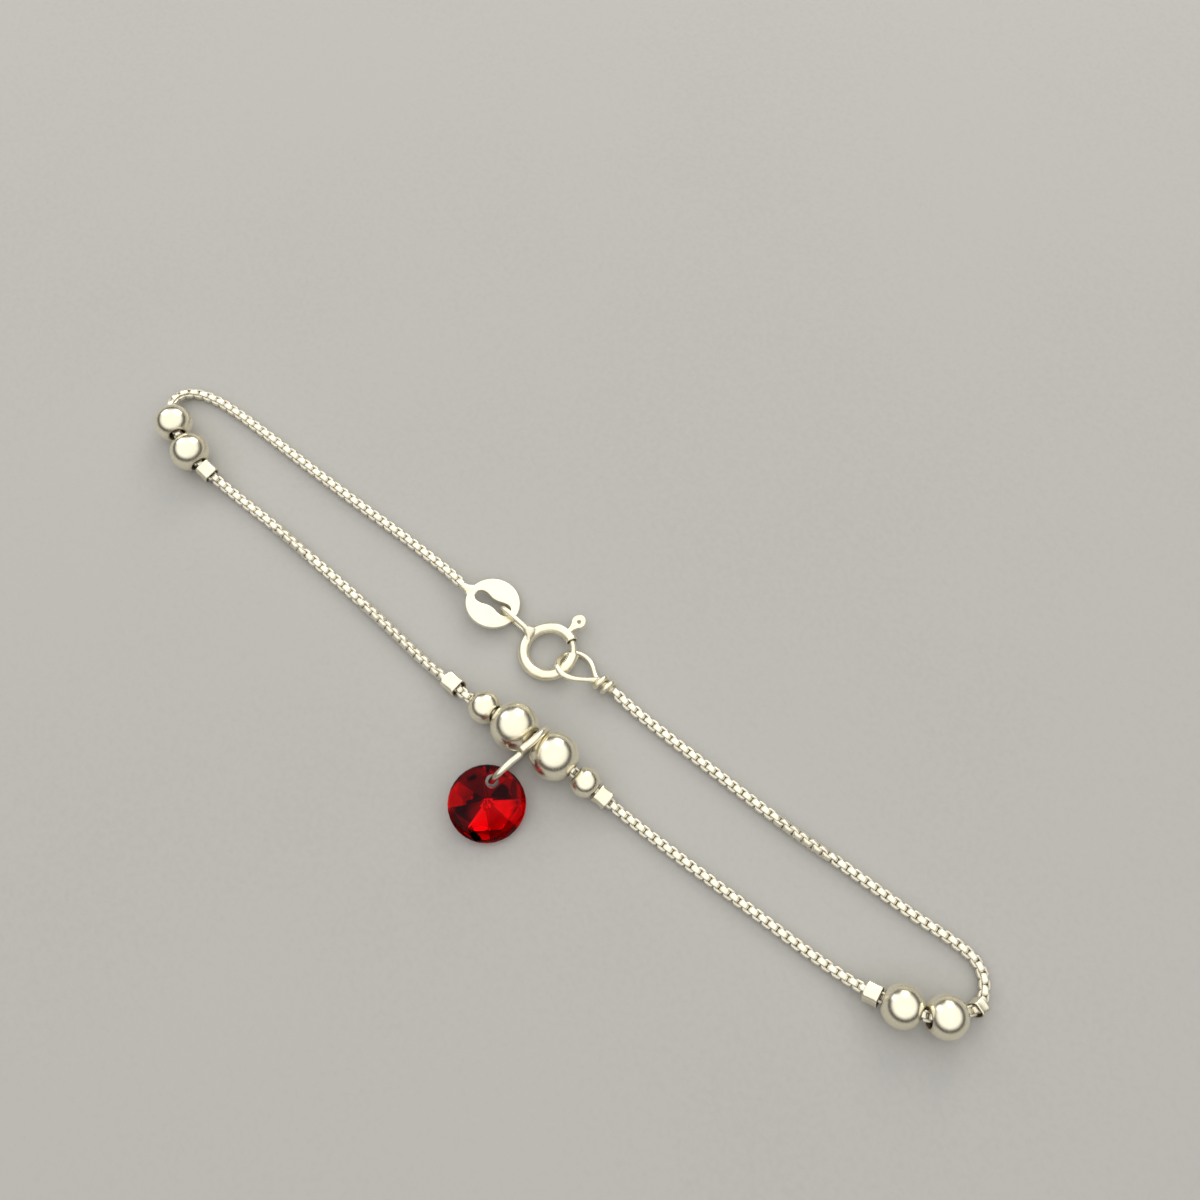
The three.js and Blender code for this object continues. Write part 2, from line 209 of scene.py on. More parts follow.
class MeshDraft:
    """Faces in millimetres, with a recess value for each vertex: 0 is open metal, 1 a deep nook."""

    def __init__(self) -> None:
        """Starts with nothing."""
        self.points: list[Vector] = []
        self.recess: list[float] = []
        self.faces: list[tuple[int, ...]] = []

    def add(self, points: Iterable[Vector], recess: Iterable[float], faces: Iterable[Sequence[int]]) -> Self:
        """Adds faces.

        Args:
            points: their vertices.
            recess: a value for each vertex.
            faces: the vertices of each face, by their place in points.

        Returns:
            This draft.
        """
        base = len(self.points)
        self.points += points
        self.recess += recess
        self.faces += [tuple(base + index for index in face) for face in faces]
        return self

    def add_draft(self, other: "MeshDraft") -> Self:
        """Adds another draft's faces, and returns this draft."""
        return self.add(other.points, other.recess, other.faces)

    def add_bmesh(self, work: bmesh.types.BMesh) -> Self:
        """Adds the faces of a bmesh in millimetres, and frees it.

        Args:
            work: the bmesh.

        Returns:
            This draft.
        """
        work.verts.index_update()
        points = [vertex.co.copy() for vertex in work.verts]
        faces = [[vertex.index for vertex in face.verts] for face in work.faces]
        self.add(points, [0.0] * len(points), faces)
        work.free()
        return self

    def add_grid(
        self,
        rows: Sequence[Sequence[Vector]],
        recess: Sequence[float] | float = 0.0,
        closed_rows: bool = True,
        closed_columns: bool = True,
    ) -> Self:
        """Adds a skin of four-sided faces over rows of points.

        Args:
            rows: rows of points, all of one length.
            recess: one value for every row, or one for all.
            closed_rows: whether each row joins up with its own start.
            closed_columns: whether the last row joins the first.

        Returns:
            This draft.
        """
        height, width = len(rows), len(rows[0])
        values = recess if isinstance(recess, Sequence) else [recess] * height
        faces = []
        for j in range(height if closed_columns else height - 1):
            for i in range(width if closed_rows else width - 1):
                corners = ((j, i), (j, i + 1), (j + 1, i + 1), (j + 1, i))
                faces.append([row % height * width + column % width for row, column in corners])
        points = [point for row in rows for point in row]
        return self.add(points, [value for value in values for _ in range(width)], faces)

    def add_loft(self, rows: Sequence[Sequence[Vector]], recess: float = 0.0) -> Self:
        """Adds a skin over closed rows of points, with a face over each end.

        Args:
            rows: rows of points, all of one length.
            recess: recess value of all the points.

        Returns:
            This draft.
        """
        width = len(rows[0])
        start = len(self.points)
        self.add_grid(rows, recess, closed_columns=False)
        end = len(self.points)
        self.faces += [tuple(range(start, start + width)), tuple(range(end - width, end))]
        return self

    def take(self, piece: bpy.types.Object) -> Self:
        """Adds an object's faces, and takes the object away.

        Args:
            piece: the object, its mesh in metres.

        Returns:
            This draft.
        """
        mesh = piece.data
        layer = mesh.attributes.get("recess")
        recess = [item.value for item in layer.data] if layer else [0.0] * len(mesh.vertices)
        points = [vertex.co * (1 / METRES) for vertex in mesh.vertices]
        self.add(points, recess, [face.vertices for face in mesh.polygons])
        bpy.data.objects.remove(piece)
        return self

    def placed(self, place: Matrix) -> Self:
        """This draft, moved by a matrix in millimetres."""
        self.points = [place @ point for point in self.points]
        return self

    def piece(
        self,
        name: str,
        material: bpy.types.Material | None = None,
        sharp_degrees: float = EDGE_DEGREES,
    ) -> bpy.types.Object:
        """The draft as an object at the origin, normals outwards, its edges sharp beyond an angle.

        Args:
            name: name of the object and of its mesh.
            material: its only material, if it has one.
            sharp_degrees: the least angle between two faces that shows as an edge.

        Returns:
            The new object.
        """
        mesh = bpy.data.meshes.new(name)
        mesh.from_pydata([point * METRES for point in self.points], [], self.faces)
        mesh.attributes.new("recess", "FLOAT", "POINT").data.foreach_set("value", self.recess)
        work = bmesh.new()
        work.from_mesh(mesh)
        bmesh.ops.recalc_face_normals(work, faces=work.faces)
        limit = math.radians(sharp_degrees)
        for face in work.faces:
            face.smooth = True
        for edge in work.edges:
            edge.smooth = len(edge.link_faces) == 2 and edge.calc_face_angle() < limit
        work.to_mesh(mesh)
        work.free()
        if material:
            mesh.materials.append(material)
        return add_object(name, mesh)


def add_object(name: str, data: bpy.types.ID) -> bpy.types.Object:
    """Adds an object to the scene, at the origin.

    Args:
        name: name of the object.
        data: its mesh, light or camera.

    Returns:
        The new object.
    """
    made = bpy.data.objects.new(name, data)
    bpy.context.scene.collection.objects.link(made)
    return made


def apply_modifiers(piece: bpy.types.Object) -> None:
    """Makes a piece's evaluated shape its own mesh, and takes its modifiers off.

    Args:
        piece: the piece.
    """
    graph = bpy.context.evaluated_depsgraph_get()
    evaluated = piece.evaluated_get(graph)
    mesh = bpy.data.meshes.new_from_object(evaluated, preserve_all_data_layers=True, depsgraph=graph)
    mesh.name = piece.data.name
    piece.modifiers.clear()
    piece.data = mesh


def cut_away(piece: bpy.types.Object, cutter: bpy.types.Object) -> None:
    """Cuts one closed shape out of a piece.

    Args:
        piece: the piece.
        cutter: the shape, which is removed afterwards.
    """
    cut = piece.modifiers.new("cut", "BOOLEAN")
    cut.operation = "DIFFERENCE"
    cut.solver = "EXACT"
    cut.object = cutter
    apply_modifiers(piece)
    bpy.data.objects.remove(cutter)


def rounded_plate(
    outline: Sequence[Vector],
    hole: Sequence[Vector],
    thickness: float,
    edge: float,
) -> MeshDraft:
    """A flat pierced plate in the XY plane with rounded rims.

    Args:
        outline: points once round the outside.
        hole: points once round the hole.
        thickness: thickness, centred on the XY plane.
        edge: radius of the rims.

    Returns:
        The draft of the plate.
    """
    rim_degrees = 60
    level = 0.999
    work = bmesh.new()
    for loop in (outline, hole):
        ring = [work.verts.new((point.x, point.y, -thickness / 2)) for point in loop]
        for index, vertex in enumerate(ring):
            work.edges.new((vertex, ring[(index + 1) % len(ring)]))
    bmesh.ops.triangle_fill(work, use_beauty=True, edges=work.edges[:], normal=(0, 0, -1))
    raised = bmesh.ops.extrude_face_region(work, geom=work.faces[:])
    moved = [item for item in raised["geom"] if isinstance(item, bmesh.types.BMVert)]
    bmesh.ops.translate(work, vec=(0, 0, thickness), verts=moved)
    bmesh.ops.recalc_face_normals(work, faces=work.faces)
    bends = [side for side in work.edges if side.calc_face_angle() > math.radians(rim_degrees)]
    rims = [side for side in bends if abs(side.verts[0].co.z - side.verts[1].co.z) < thickness / 2]
    bmesh.ops.bevel(work, geom=rims, offset=edge, segments=3, profile=0.5, affect="EDGES")
    work.normal_update()
    flats = [face for face in work.faces if abs(face.normal.z) > level]
    bmesh.ops.inset_region(work, faces=flats, thickness=edge / 2, use_even_offset=True)
    plate = MeshDraft().add_bmesh(work)
    # The faces come in an order that can change from run to run, so they are sorted.
    plate.faces.sort()
    return plate


# ------------------------------------------------------------------------------ nodes


class Graph:
    """A tree of nodes under construction."""

    def __init__(self, tree: bpy.types.NodeTree) -> None:
        """Keeps the tree."""
        self.tree = tree

    def node(
        self,
        kind: str,
        settings: Settings | None = None,
        inputs: Inputs | None = None,
    ) -> bpy.types.Node:
        """Adds a node.

        Args:
            kind: the node's type.
            settings: its properties, or a ramp's stops, set first.
            inputs: a value or a signal for each socket, by its name or number.

        Returns:
            The node.
        """
        made = self.tree.nodes.new(kind)
        for key, value in (settings or {}).items():
            if key == "stops":
                self.set_stops(made.color_ramp.elements, value)
            else:
                setattr(made, key, value)
        for key, value in (inputs or {}).items():
            self.feed(made, key, value)
        return made

    def signal(
        self,
        kind: str,
        settings: Settings | None = None,
        inputs: Inputs | None = None,
        output: str | int = 0,
    ) -> "Signal":
        """Adds a node and gives one of its outputs, by its name or number."""
        return Signal(self, self.node(kind, settings, inputs).outputs[output])

    def feed(self, node: bpy.types.Node, key: str | int, value: object) -> None:
        """Gives a node's input a value, or links a signal to it.

        Args:
            node: the node.
            key: the input's name or number.
            value: the value or the signal.
        """
        if isinstance(value, Signal):
            self.tree.links.new(value.socket, node.inputs[key])
        else:
            node.inputs[key].default_value = value

    @staticmethod
    def set_stops(elements: bpy.types.ColorRampElements, stops: Sequence[tuple[float, Colour]]) -> None:
        """Sets a colour ramp's stops.

        Args:
            elements: the ramp's elements.
            stops: the place and the colour of each stop.
        """
        while len(elements) < len(stops):
            elements.new(0.5)
        for element, (position, colour) in zip(elements, stops, strict=True):
            element.position = position
            element.color = opaque(colour)


class Signal:
    """A node's output that Python's operators can work on; each operation adds a Math node."""

    def __init__(self, graph: Graph, socket: bpy.types.NodeSocket) -> None:
        """Wraps one output socket."""
        self.graph = graph
        self.socket = socket

    def _math(self, operation: str, left: object, right: object = 0.0, clamp: bool = False) -> "Signal":
        """The result of an operation on two values."""
        settings = {"operation": operation, "use_clamp": clamp}
        return self.graph.signal("ShaderNodeMath", settings, {0: left, 1: right})

    def __add__(self, other: object) -> "Signal":
        """Sum."""
        return self._math("ADD", self, other)

    def __sub__(self, other: object) -> "Signal":
        """Difference."""
        return self._math("SUBTRACT", self, other)

    def __rsub__(self, other: object) -> "Signal":
        """Difference, the other way round."""
        return self._math("SUBTRACT", other, self)

    def __mul__(self, other: object) -> "Signal":
        """Product."""
        return self._math("MULTIPLY", self, other)

    def __mod__(self, other: object) -> "Signal":
        """Remainder."""
        return self._math("MODULO", self, other)

    def __abs__(self) -> "Signal":
        """Size without sign."""
        return self._math("ABSOLUTE", self)

    def clamped(self) -> "Signal":
        """Held between 0 and 1."""
        return self._math("ADD", self, 0.0, clamp=True)

    __radd__ = __add__
    __rmul__ = __mul__


class NodeRecipe(Graph):
    """A Geometry Nodes tree under construction, with named inputs."""

    def __init__(self, name: str, inputs: dict[str, str]) -> None:
        """Starts the tree with its inputs and its output.

        Args:
            name: name of the tree.
            inputs: socket kind of each named input, besides Geometry and Finish.
        """
        super().__init__(bpy.data.node_groups.new(name, "GeometryNodeTree"))
        kinds = {"Geometry": "NodeSocketGeometry", **inputs, "Finish": "NodeSocketMaterial"}
        self.identifiers: dict[str, str] = {}
        for input_name, kind in kinds.items():
            item = self.tree.interface.new_socket(name=input_name, in_out="INPUT", socket_type=kind)
            self.identifiers[input_name] = item.identifier
        self.tree.interface.new_socket(name="Geometry", in_out="OUTPUT", socket_type="NodeSocketGeometry")
        self.entry = self.tree.nodes.new("NodeGroupInput")

    def given(self, name: str) -> Signal:
        """What a named input is given."""
        return Signal(self, self.entry.outputs[name])

    def layer(self, name: str) -> Signal:
        """A value that the path carries at each point."""
        return self.signal("GeometryNodeInputNamedAttribute", {"data_type": "FLOAT"}, {"Name": name})

    def path(self, normals: str) -> Signal:
        """The input's edges as a curve, with one rule for its normals."""
        curve = self.signal("GeometryNodeMeshToCurve", inputs={"Mesh": self.given("Geometry")})
        return self.signal("GeometryNodeSetCurveNormal", {"mode": normals}, {"Curve": curve})

    def close(self, geometry: Signal) -> None:
        """Ends the tree: realizes what is instanced, dresses it and sends it out.

        Args:
            geometry: the finished geometry.
        """
        real = self.signal("GeometryNodeRealizeInstances", inputs={"Geometry": geometry})
        inputs = {"Geometry": real, "Material": self.given("Finish")}
        dressed = self.signal("GeometryNodeSetMaterial", inputs=inputs)
        self.node("NodeGroupOutput", inputs={0: dressed})

    def run(self, piece: bpy.types.Object, values: dict[str, object]) -> bpy.types.Object:
        """Runs the tree on an object and keeps the result as its plain mesh.

        Args:
            piece: the object whose mesh goes in.
            values: a value for each named input.

        Returns:
            The same object.
        """
        modifier = piece.modifiers.new(self.tree.name, "NODES")
        modifier.node_group = self.tree
        for name, value in values.items():
            modifier[self.identifiers[name]] = value
        apply_modifiers(piece)
        return piece


def path_object(name: str, points: Sequence[Vector], **layers: Sequence[float]) -> bpy.types.Object:
    """A path of edges as an object.

    Args:
        name: name of the object.
        points: the path in millimetres.
        layers: a value of each named layer for every point.

    Returns:
        The new object.
    """
    mesh = bpy.data.meshes.new(name)
    edges = [(index, index + 1) for index in range(len(points) - 1)]
    mesh.from_pydata([point * METRES for point in points], edges, [])
    for layer_name, values in layers.items():
        mesh.attributes.new(layer_name, "FLOAT", "POINT").data.foreach_set("value", values)
    return add_object(name, mesh)


class WireRecipe(NodeRecipe):
    """Round wire along a path, scaled at each point by the path's girth."""

    dome_steps = (0.3, 0.55, 0.76, 0.9, 0.98)
    dome_reach = 0.55
    least_girth = 0.2

    def __init__(self) -> None:
        """Builds the tree."""
        super().__init__("Round wire", {"Wire Radius": "NodeSocketFloat", "Sides": "NodeSocketInt"})
        section = self.signal(
            "GeometryNodeCurvePrimitiveCircle",
            inputs={"Resolution": self.given("Sides"), "Radius": self.given("Wire Radius")},
        )
        skin = self.signal(
            "GeometryNodeCurveToMesh",
            inputs={
                "Curve": self.path("MINIMUM_TWIST"),
                "Profile Curve": section,
                "Scale": self.layer("girth"),
                "Fill Caps": True,
            },
        )
        self.close(self.signal("GeometryNodeSetShadeSmooth", inputs={"Geometry": skin}))

    def draw(
        self,
        name: str,
        points: Sequence[Vector],
        thickness: float,
        material: bpy.types.Material,
        girth: Callable[[float], float] = lambda share: 1.0,
        recess: float = 0.0,
        sides: int = 20,
    ) -> bpy.types.Object:
        """Draws a wire whose two ends are rounded off.

        Args:
            name: name of the object.
            points: the wire's path.
            thickness: the wire's thickness.
            material: its finish.
            girth: times the thickness, at a share of the way along.
            recess: its recess value.
            sides: faces round the wire.

        Returns:
            The object.
        """
        radius = thickness / 2
        capped, shares = self.rounded_ends(points, self.dome_reach * radius)
        least = self.least_girth**2
        girths = [girth(share) * math.sqrt(max(least, 1 - past * past)) for share, past in shares]
        path = path_object(name, capped, girth=girths, recess=[recess] * len(capped))
        return self.run(path, {"Wire Radius": radius * METRES, "Sides": sides, "Finish": material})

    def rounded_ends(self, points: Sequence[Vector], reach: float) -> tuple[list[Vector], list[Span]]:
        """Adds close points at both ends, so that the wire can narrow to a dome there.

        Args:
            points: the wire's path.
            reach: how far the domes stand out.

        Returns:
            The longer path, and for each point its share of the way and how far into a dome it is.
        """
        lead = (points[0] - points[1]).normalized()
        tail = (points[-1] - points[-2]).normalized()
        inward = self.dome_steps[::-1]
        last = len(points) - 1
        path = [points[0] + lead * reach * step for step in inward]
        path += [*points, *(points[-1] + tail * reach * step for step in self.dome_steps)]
        shares = [(0.0, step) for step in inward]
        shares += [(index / last, 0.0) for index in range(len(points))]
        shares += [(1.0, step) for step in self.dome_steps]
        return path, shares


# ------------------------------------------------------------------------------ finishes


def opaque(colour: Colour) -> tuple[float, float, float, float]:
    """A colour with full alpha."""
    return (*colour, 1.0)


class Shader(Graph):
    """A material under construction round one Principled BSDF."""

    lean = (0.3, 0.2)
    scratch_stretch = (0.25, 5.0, 5.0)

    def __init__(self, name: str) -> None:
        """Starts the material, with coordinates that count millimetres of the object.

        Args:
            name: name of the material.
        """
        self.material = bpy.data.materials.new(name)
        self.material.use_nodes = True
        super().__init__(self.material.node_tree)
        self.surface = self.tree.nodes["Principled BSDF"]
        place = self.signal("ShaderNodeTexCoord", output="Object")
        inputs = {0: place, "Scale": 1 / METRES}
        self.place = self.signal("ShaderNodeVectorMath", {"operation": "SCALE"}, inputs)

    def noise(
        self,
        scale: float,
        detail: float = 3.0,
        stretch: Point = (1.0, 1.0, 1.0),
        turn: float = 0.0,
    ) -> Signal:
        """Cloudy noise in the piece's millimetres.

        Args:
            scale: clouds for each millimetre.
            detail: how many finer layers it has.
            stretch: scale of each axis.
            turn: turn about the Z axis, in degrees.

        Returns:
            A signal from 0 to 1.
        """
        inputs = {"Vector": self.place, "Rotation": (*self.lean, math.radians(turn)), "Scale": stretch}
        vector = self.signal("ShaderNodeMapping", inputs=inputs)
        inputs = {"Vector": vector, "Scale": scale, "Detail": detail}
        return self.signal("ShaderNodeTexNoise", inputs=inputs, output="Fac")

    def hairlines(self, scale: float, turn: float, sharpness: float) -> Signal:
        """Long fine scratches: 1 on a scratch, 0 beside it."""
        cloud = self.noise(scale, 1.0, self.scratch_stretch, turn)
        return (1 - abs(cloud - 0.5) * sharpness).clamped()

    def layer(self, name: str) -> Signal:
        """A value that the mesh carries."""
        return self.signal("ShaderNodeAttribute", {"attribute_name": name}, output="Fac")

    def mixed(self, share: Signal, first: Signal | Colour, second: Signal | Colour) -> Signal:
        """Mix of two colours by a share."""
        ends = [end if isinstance(end, Signal) else opaque(end) for end in (first, second)]
        return self.signal("ShaderNodeMix", {"data_type": "RGBA"}, {0: share, 6: ends[0], 7: ends[1]}, 2)

    def finished(self, inputs: Inputs, relief: Signal, strength: float, depth: float) -> bpy.types.Material:
        """Feeds the surface and ends the material.

        Args:
            inputs: a value or a signal for each of the surface's inputs.
            relief: height of its relief.
            strength: strength of the relief.
            depth: depth of the relief in millimetres.

        Returns:
            The material.
        """
        height = {"Height": relief, "Strength": strength, "Distance": depth * METRES}
        normal = self.signal("ShaderNodeBump", inputs=height)
        for key, value in {**inputs, "Normal": normal}.items():
            self.feed(self.surface, key, value)
        return self.material


@dataclass(frozen=True)
class SilverFinish:
    """Worn silver: warm metal with brown in its nooks, hairline scratches and a faint grain."""

    name: str
    polished: Colour = (0.95, 0.90, 0.73)
    dulled: Colour = (0.78, 0.70, 0.49)
    nook: Colour = (0.20, 0.13, 0.07)
    roughness: float = 0.16
    wear: float = 0.10
    scratch_wear: float = 0.6
    nook_roughness: float = 0.35
    micro_roughness: float = 0.04
    tarnish: float = 0.35
    cloud_level: float = 0.42
    cloud_contrast: float = 2.4
    speckle_contrast: float = 0.7
    nook_depth: float = 0.9
    scratch: float = 0.5
    grain: float = 0.3
    micro_grain: float = 0.4
    relief_strength: float = 0.3
    relief_depth: float = 0.008
    toned: bool = False

    def material(self) -> bpy.types.Material:
        """Builds the material.

        Returns:
            The material.
        """
        shader = Shader(self.name)
        cloud = shader.noise(0.55, 4.0)
        speckle = shader.noise(4.5, 3.0)
        micro = shader.noise(26.0, 2.0)
        lines = (shader.hairlines(0.5, 20, 70) + shader.hairlines(0.7, 115, 90)).clamped()
        recess = shader.layer("recess")
        clouded = (cloud - self.cloud_level) * self.cloud_contrast
        dull = (clouded + (speckle - 0.5) * self.speckle_contrast).clamped() * self.tarnish
        if self.toned:
            dull = (dull + shader.layer("tone")).clamped()
        nook = (recess * self.nook_depth + recess * (speckle - 0.5)).clamped()
        worn = self.roughness + self.wear * (dull + lines * self.scratch_wear)
        inputs = {
            "Base Color": shader.mixed(nook, shader.mixed(dull, self.polished, self.dulled), self.nook),
            "Roughness": worn + self.nook_roughness * nook + (micro - 0.5) * self.micro_roughness,
            "Metallic": 1.0,
        }
        grain = speckle * self.grain + micro * (self.micro_grain * self.grain)
        return shader.finished(inputs, grain - lines * self.scratch, self.relief_strength, self.relief_depth)


@dataclass(frozen=True)
class CrystalFinish:
    """Deep red cut crystal: clear glass with streaks of colour, over metal back facets in painted bright and
    dark reflections.
    """

    name: str
    light: Colour = (0.95, 0.002, 0.018)
    deep: Colour = (0.45, 0.0005, 0.003)
    # Painted reflections: each back facet mixes these two colours, bright where it stands for reflected sky
    # and dark where it stands for reflected floor.
    painted_bright_reflection: Colour = (0.95, 0.05, 0.10)
    painted_dark_reflection: Colour = (0.02, 0.0005, 0.001)
    roughness: float = 0.012
    rubbed_roughness: float = 0.03
    scratch_roughness: float = 0.02
    foil_roughness: float = 0.02
    refraction: float = 1.60
    glint: Colour = (0.13, 0.10, 0.12)
    foil_gain: float = 50.0
    streak_level: float = 0.38
    streak_contrast: float = 3.5
    smudge_level: float = 0.52
    smudge_contrast: float = 3.0
    smudge_relief: float = 0.4
    scratch_relief: float = 0.3
    relief_strength: float = 0.03
    relief_depth: float = 0.006

    def material(self) -> bpy.types.Material:
        """Builds the material.

        Returns:
            The material.
        """
        shader = Shader(self.name)
        streaks = shader.noise(0.5, 2.0, (1.0, 0.5, 1.0), 30)
        smudges = shader.noise(1.1, 2.0)
        lines = shader.hairlines(0.5, 70, 60)
        # The mesh carries a painted reflection brightness on each back facet; it marks the metal back and
        # sets how bright its painted reflection is.
        painted_reflection = shader.layer("back_shade")
        foil = (painted_reflection * self.foil_gain).clamped()
        painted_reflection_colour = shader.mixed(painted_reflection, self.painted_dark_reflection, self.painted_bright_reflection)
        streaked = ((streaks - self.streak_level) * self.streak_contrast).clamped()
        glass = shader.mixed(streaked, self.light, self.deep)
        rubbed = ((smudges - self.smudge_level) * self.smudge_contrast).clamped()
        worn = self.roughness + rubbed * self.rubbed_roughness + lines * self.scratch_roughness
        inputs = {
            "Base Color": shader.mixed(foil, glass, painted_reflection_colour),
            "Metallic": foil,
            "Roughness": worn + foil * self.foil_roughness,
            "Transmission Weight": 1.0,
            "IOR": self.refraction,
            "Specular Tint": opaque(self.glint),
        }
        relief = smudges * self.smudge_relief - lines * self.scratch_relief
        return shader.finished(inputs, relief, self.relief_strength, self.relief_depth)


@dataclass(frozen=True)
class FloorFinish:
    """Plain pale board with a faint tooth."""

    name: str
    colour: Colour = (0.43, 0.424, 0.409)
    fleck: Colour = (0.383, 0.378, 0.365)
    roughness: float = 0.72
    tooth_roughness: float = 0.1
    tooth_level: float = 0.45
    tooth_contrast: float = 1.2
    broad_contrast: float = 0.8
    relief_strength: float = 0.2
    relief_depth: float = 0.05

    def material(self) -> bpy.types.Material:
        """Builds the material.

        Returns:
            The material.
        """
        shader = Shader(self.name)
        tooth = shader.noise(1.8, 5.0)
        broad = shader.noise(0.03, 3.0)
        share = (tooth - self.tooth_level) * self.tooth_contrast + (broad - 0.5) * self.broad_contrast
        inputs = {
            "Base Color": shader.mixed(share.clamped(), self.colour, self.fleck),
            "Roughness": self.roughness + tooth * self.tooth_roughness,
        }
        return shader.finished(inputs, tooth, self.relief_strength, self.relief_depth)


class Slot(Enum):
    """The record's material slots."""

    CHAIN = "chain_silver"
    BEAD = "bead_silver"
    CRIMP = "crimp_silver"
    CLASP = "clasp_silver"
    WIRE = "wire_silver"
    CRYSTAL = "red_crystal"


FINISHES: dict[Slot, SilverFinish | CrystalFinish] = {
    Slot.CHAIN: SilverFinish(
        "bright_chain_silver",
        polished=(0.97, 0.935, 0.81),
        dulled=(0.84, 0.78, 0.6),
        roughness=0.4,
        tarnish=0.25,
        grain=0.15,
        nook_depth=0.5,
        toned=True,
    ),
    Slot.BEAD: SilverFinish("polished_bead_silver", roughness=0.24, wear=0.07, tarnish=0.4, scratch=0.12),
    Slot.CRIMP: SilverFinish("pressed_crimp_silver", roughness=0.3, tarnish=0.3, grain=0.5),
    Slot.CLASP: SilverFinish("worn_clasp_silver", roughness=0.3, tarnish=0.25),
    Slot.WIRE: SilverFinish("drawn_wire_silver", roughness=0.28, tarnish=0.3, grain=0.4),
    Slot.CRYSTAL: CrystalFinish("deep_red_crystal"),
}

Palette = dict[Slot, bpy.types.Material]


def hand_over(piece: bpy.types.Object, node: str, body: str = WHOLE) -> None:
    """Lets a finished piece stand for its CAD node.

    Args:
        piece: the finished piece.
        node: the CAD node that it replaces.
        body: the body that it rides on.
    """
    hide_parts(node)
    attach(piece, body)
    LOG.info("%s stands for %s on %s, %d faces", piece.name, node, body, len(piece.data.polygons))


# ------------------------------------------------------------------------------ chain


@dataclass
class ChainRoute:
    """The true route of the chain, and the seats of the beads and crimps on it."""

    stations: dict[str, Point] = field(
        default_factory=lambda: {
            "left_bead_1": (-47.47, 2.1, 1.98),
            "left_bead_2": (-43.7, 0.72, 1.99),
            "left_crimp": (-41.05, 0.42, 1.3),
            "center_crimp_left": (-5.95, -1.2, 1.03),
            "center_small_bead_left": (-1.86, -1.25, 1.66),
            "center_big_bead_left": (1.77, -1.04, 2.36),
            "center_big_bead_right": (6.55, -0.96, 2.36),
            "center_small_bead_right": (10.26, -0.95, 1.46),
            "center_crimp_right": (12.3, -0.94, 1.05),
            "right_crimp": (42.0, 0.0, 1.3),
            "right_bead_1": (44.55, 0.58, 2.01),
            "right_bead_2": (48.16, 2.18, 2.03),
            "end_crimp": (49.98, 4.9, 0.95),
        }
    )
    search_step: float = 0.01
    settling: float = 0.35

    def __post_init__(self) -> None:
        """Lays the route through its points and stations."""
        way: list[Point | str] = [
            (-12.25, 7.25, 1.12), (-13.8, 7.45, 0.88), (-16.2, 7.6, 0.6), (-21, 7.65, 0.51),
            (-27.5, 7.53, 0.51), (-34, 7.52, 0.51), (-40, 7.57, 0.51), (-44.2, 7.5, 0.51),
            (-46.6, 7.27, 0.51), (-48.6, 6.7, 0.55), (-49.75, 5.8, 0.68), (-50, 4.75, 0.95),
            (-49.35, 3.4, 1.5), "left_bead_1", "left_bead_2", "left_crimp", (-39.6, 0.4, 0.83),
            (-37, 0.38, 0.55), (-31, 0.32, 0.51), (-25, 0, 0.51), (-19.5, -0.29, 0.51),
            (-14, -0.74, 0.51), (-10, -1.13, 0.53), (-7.8, -1.2, 0.68), "center_crimp_left",
            (-4.3, -1.4, 1.2), "center_small_bead_left", "center_big_bead_left",
            "center_big_bead_right", "center_small_bead_right", "center_crimp_right",
            (14.2, -0.98, 0.68), (16.8, -0.98, 0.51), (23, -0.87, 0.51), (30, -0.65, 0.51),
            (36, -0.48, 0.51), (39.6, -0.25, 0.68), "right_crimp", "right_bead_1",
            (46.45, 1.1, 2.12), "right_bead_2", (49.3, 3.8, 1.45), "end_crimp", (49.85, 6, 0.7),
            (49.1, 7.35, 0.55), (47.7, 8.25, 0.51), (45.5, 8.45, 0.51), (41, 8.15, 0.51),
            (34, 7.9, 0.51), (27, 7.62, 0.51), (20, 7.6, 0.51), (13.4, 7.62, 0.51),
            (9.2, 7.72, 0.55), (6.95, 7.9, 0.75),
        ]
        self.order = [stop if isinstance(stop, str) else "" for stop in way]
        self.curve = CentripetalCurve([self.stations.get(stop, stop) for stop in way])

    def mouth(self, name: str, reach: float, way: int) -> Vector:
        """Where the chain leaves a bore, one way or the other.

        Args:
            name: the station.
            reach: how far the bore's mouth is from the station.
            way: 1 along the route or -1 back along it.

        Returns:
            The point on the route.
        """
        index = self.order.index(name)
        station = self.curve.at(index)
        share = 0.0
        point = station
        while (point - station).length < reach:
            share += self.search_step
            point = self.curve.at(index + way * share)
        return point

    def seat(self, name: str, reach: float) -> tuple[Vector, Vector]:
        """Seat of a part whose straight bore holds the curved chain.

        Args:
            name: the station.
            reach: how far the bore's mouths are from the station.

        Returns:
            The middle of the bore, settled towards the chord between its mouths, and its axis.
        """
        entry = self.mouth(name, reach, -1)
        leaving = self.mouth(name, reach, 1)
        station = Vector(self.stations[name])
        return station.lerp((entry + leaving) / 2, self.settling), (leaving - entry).normalized()


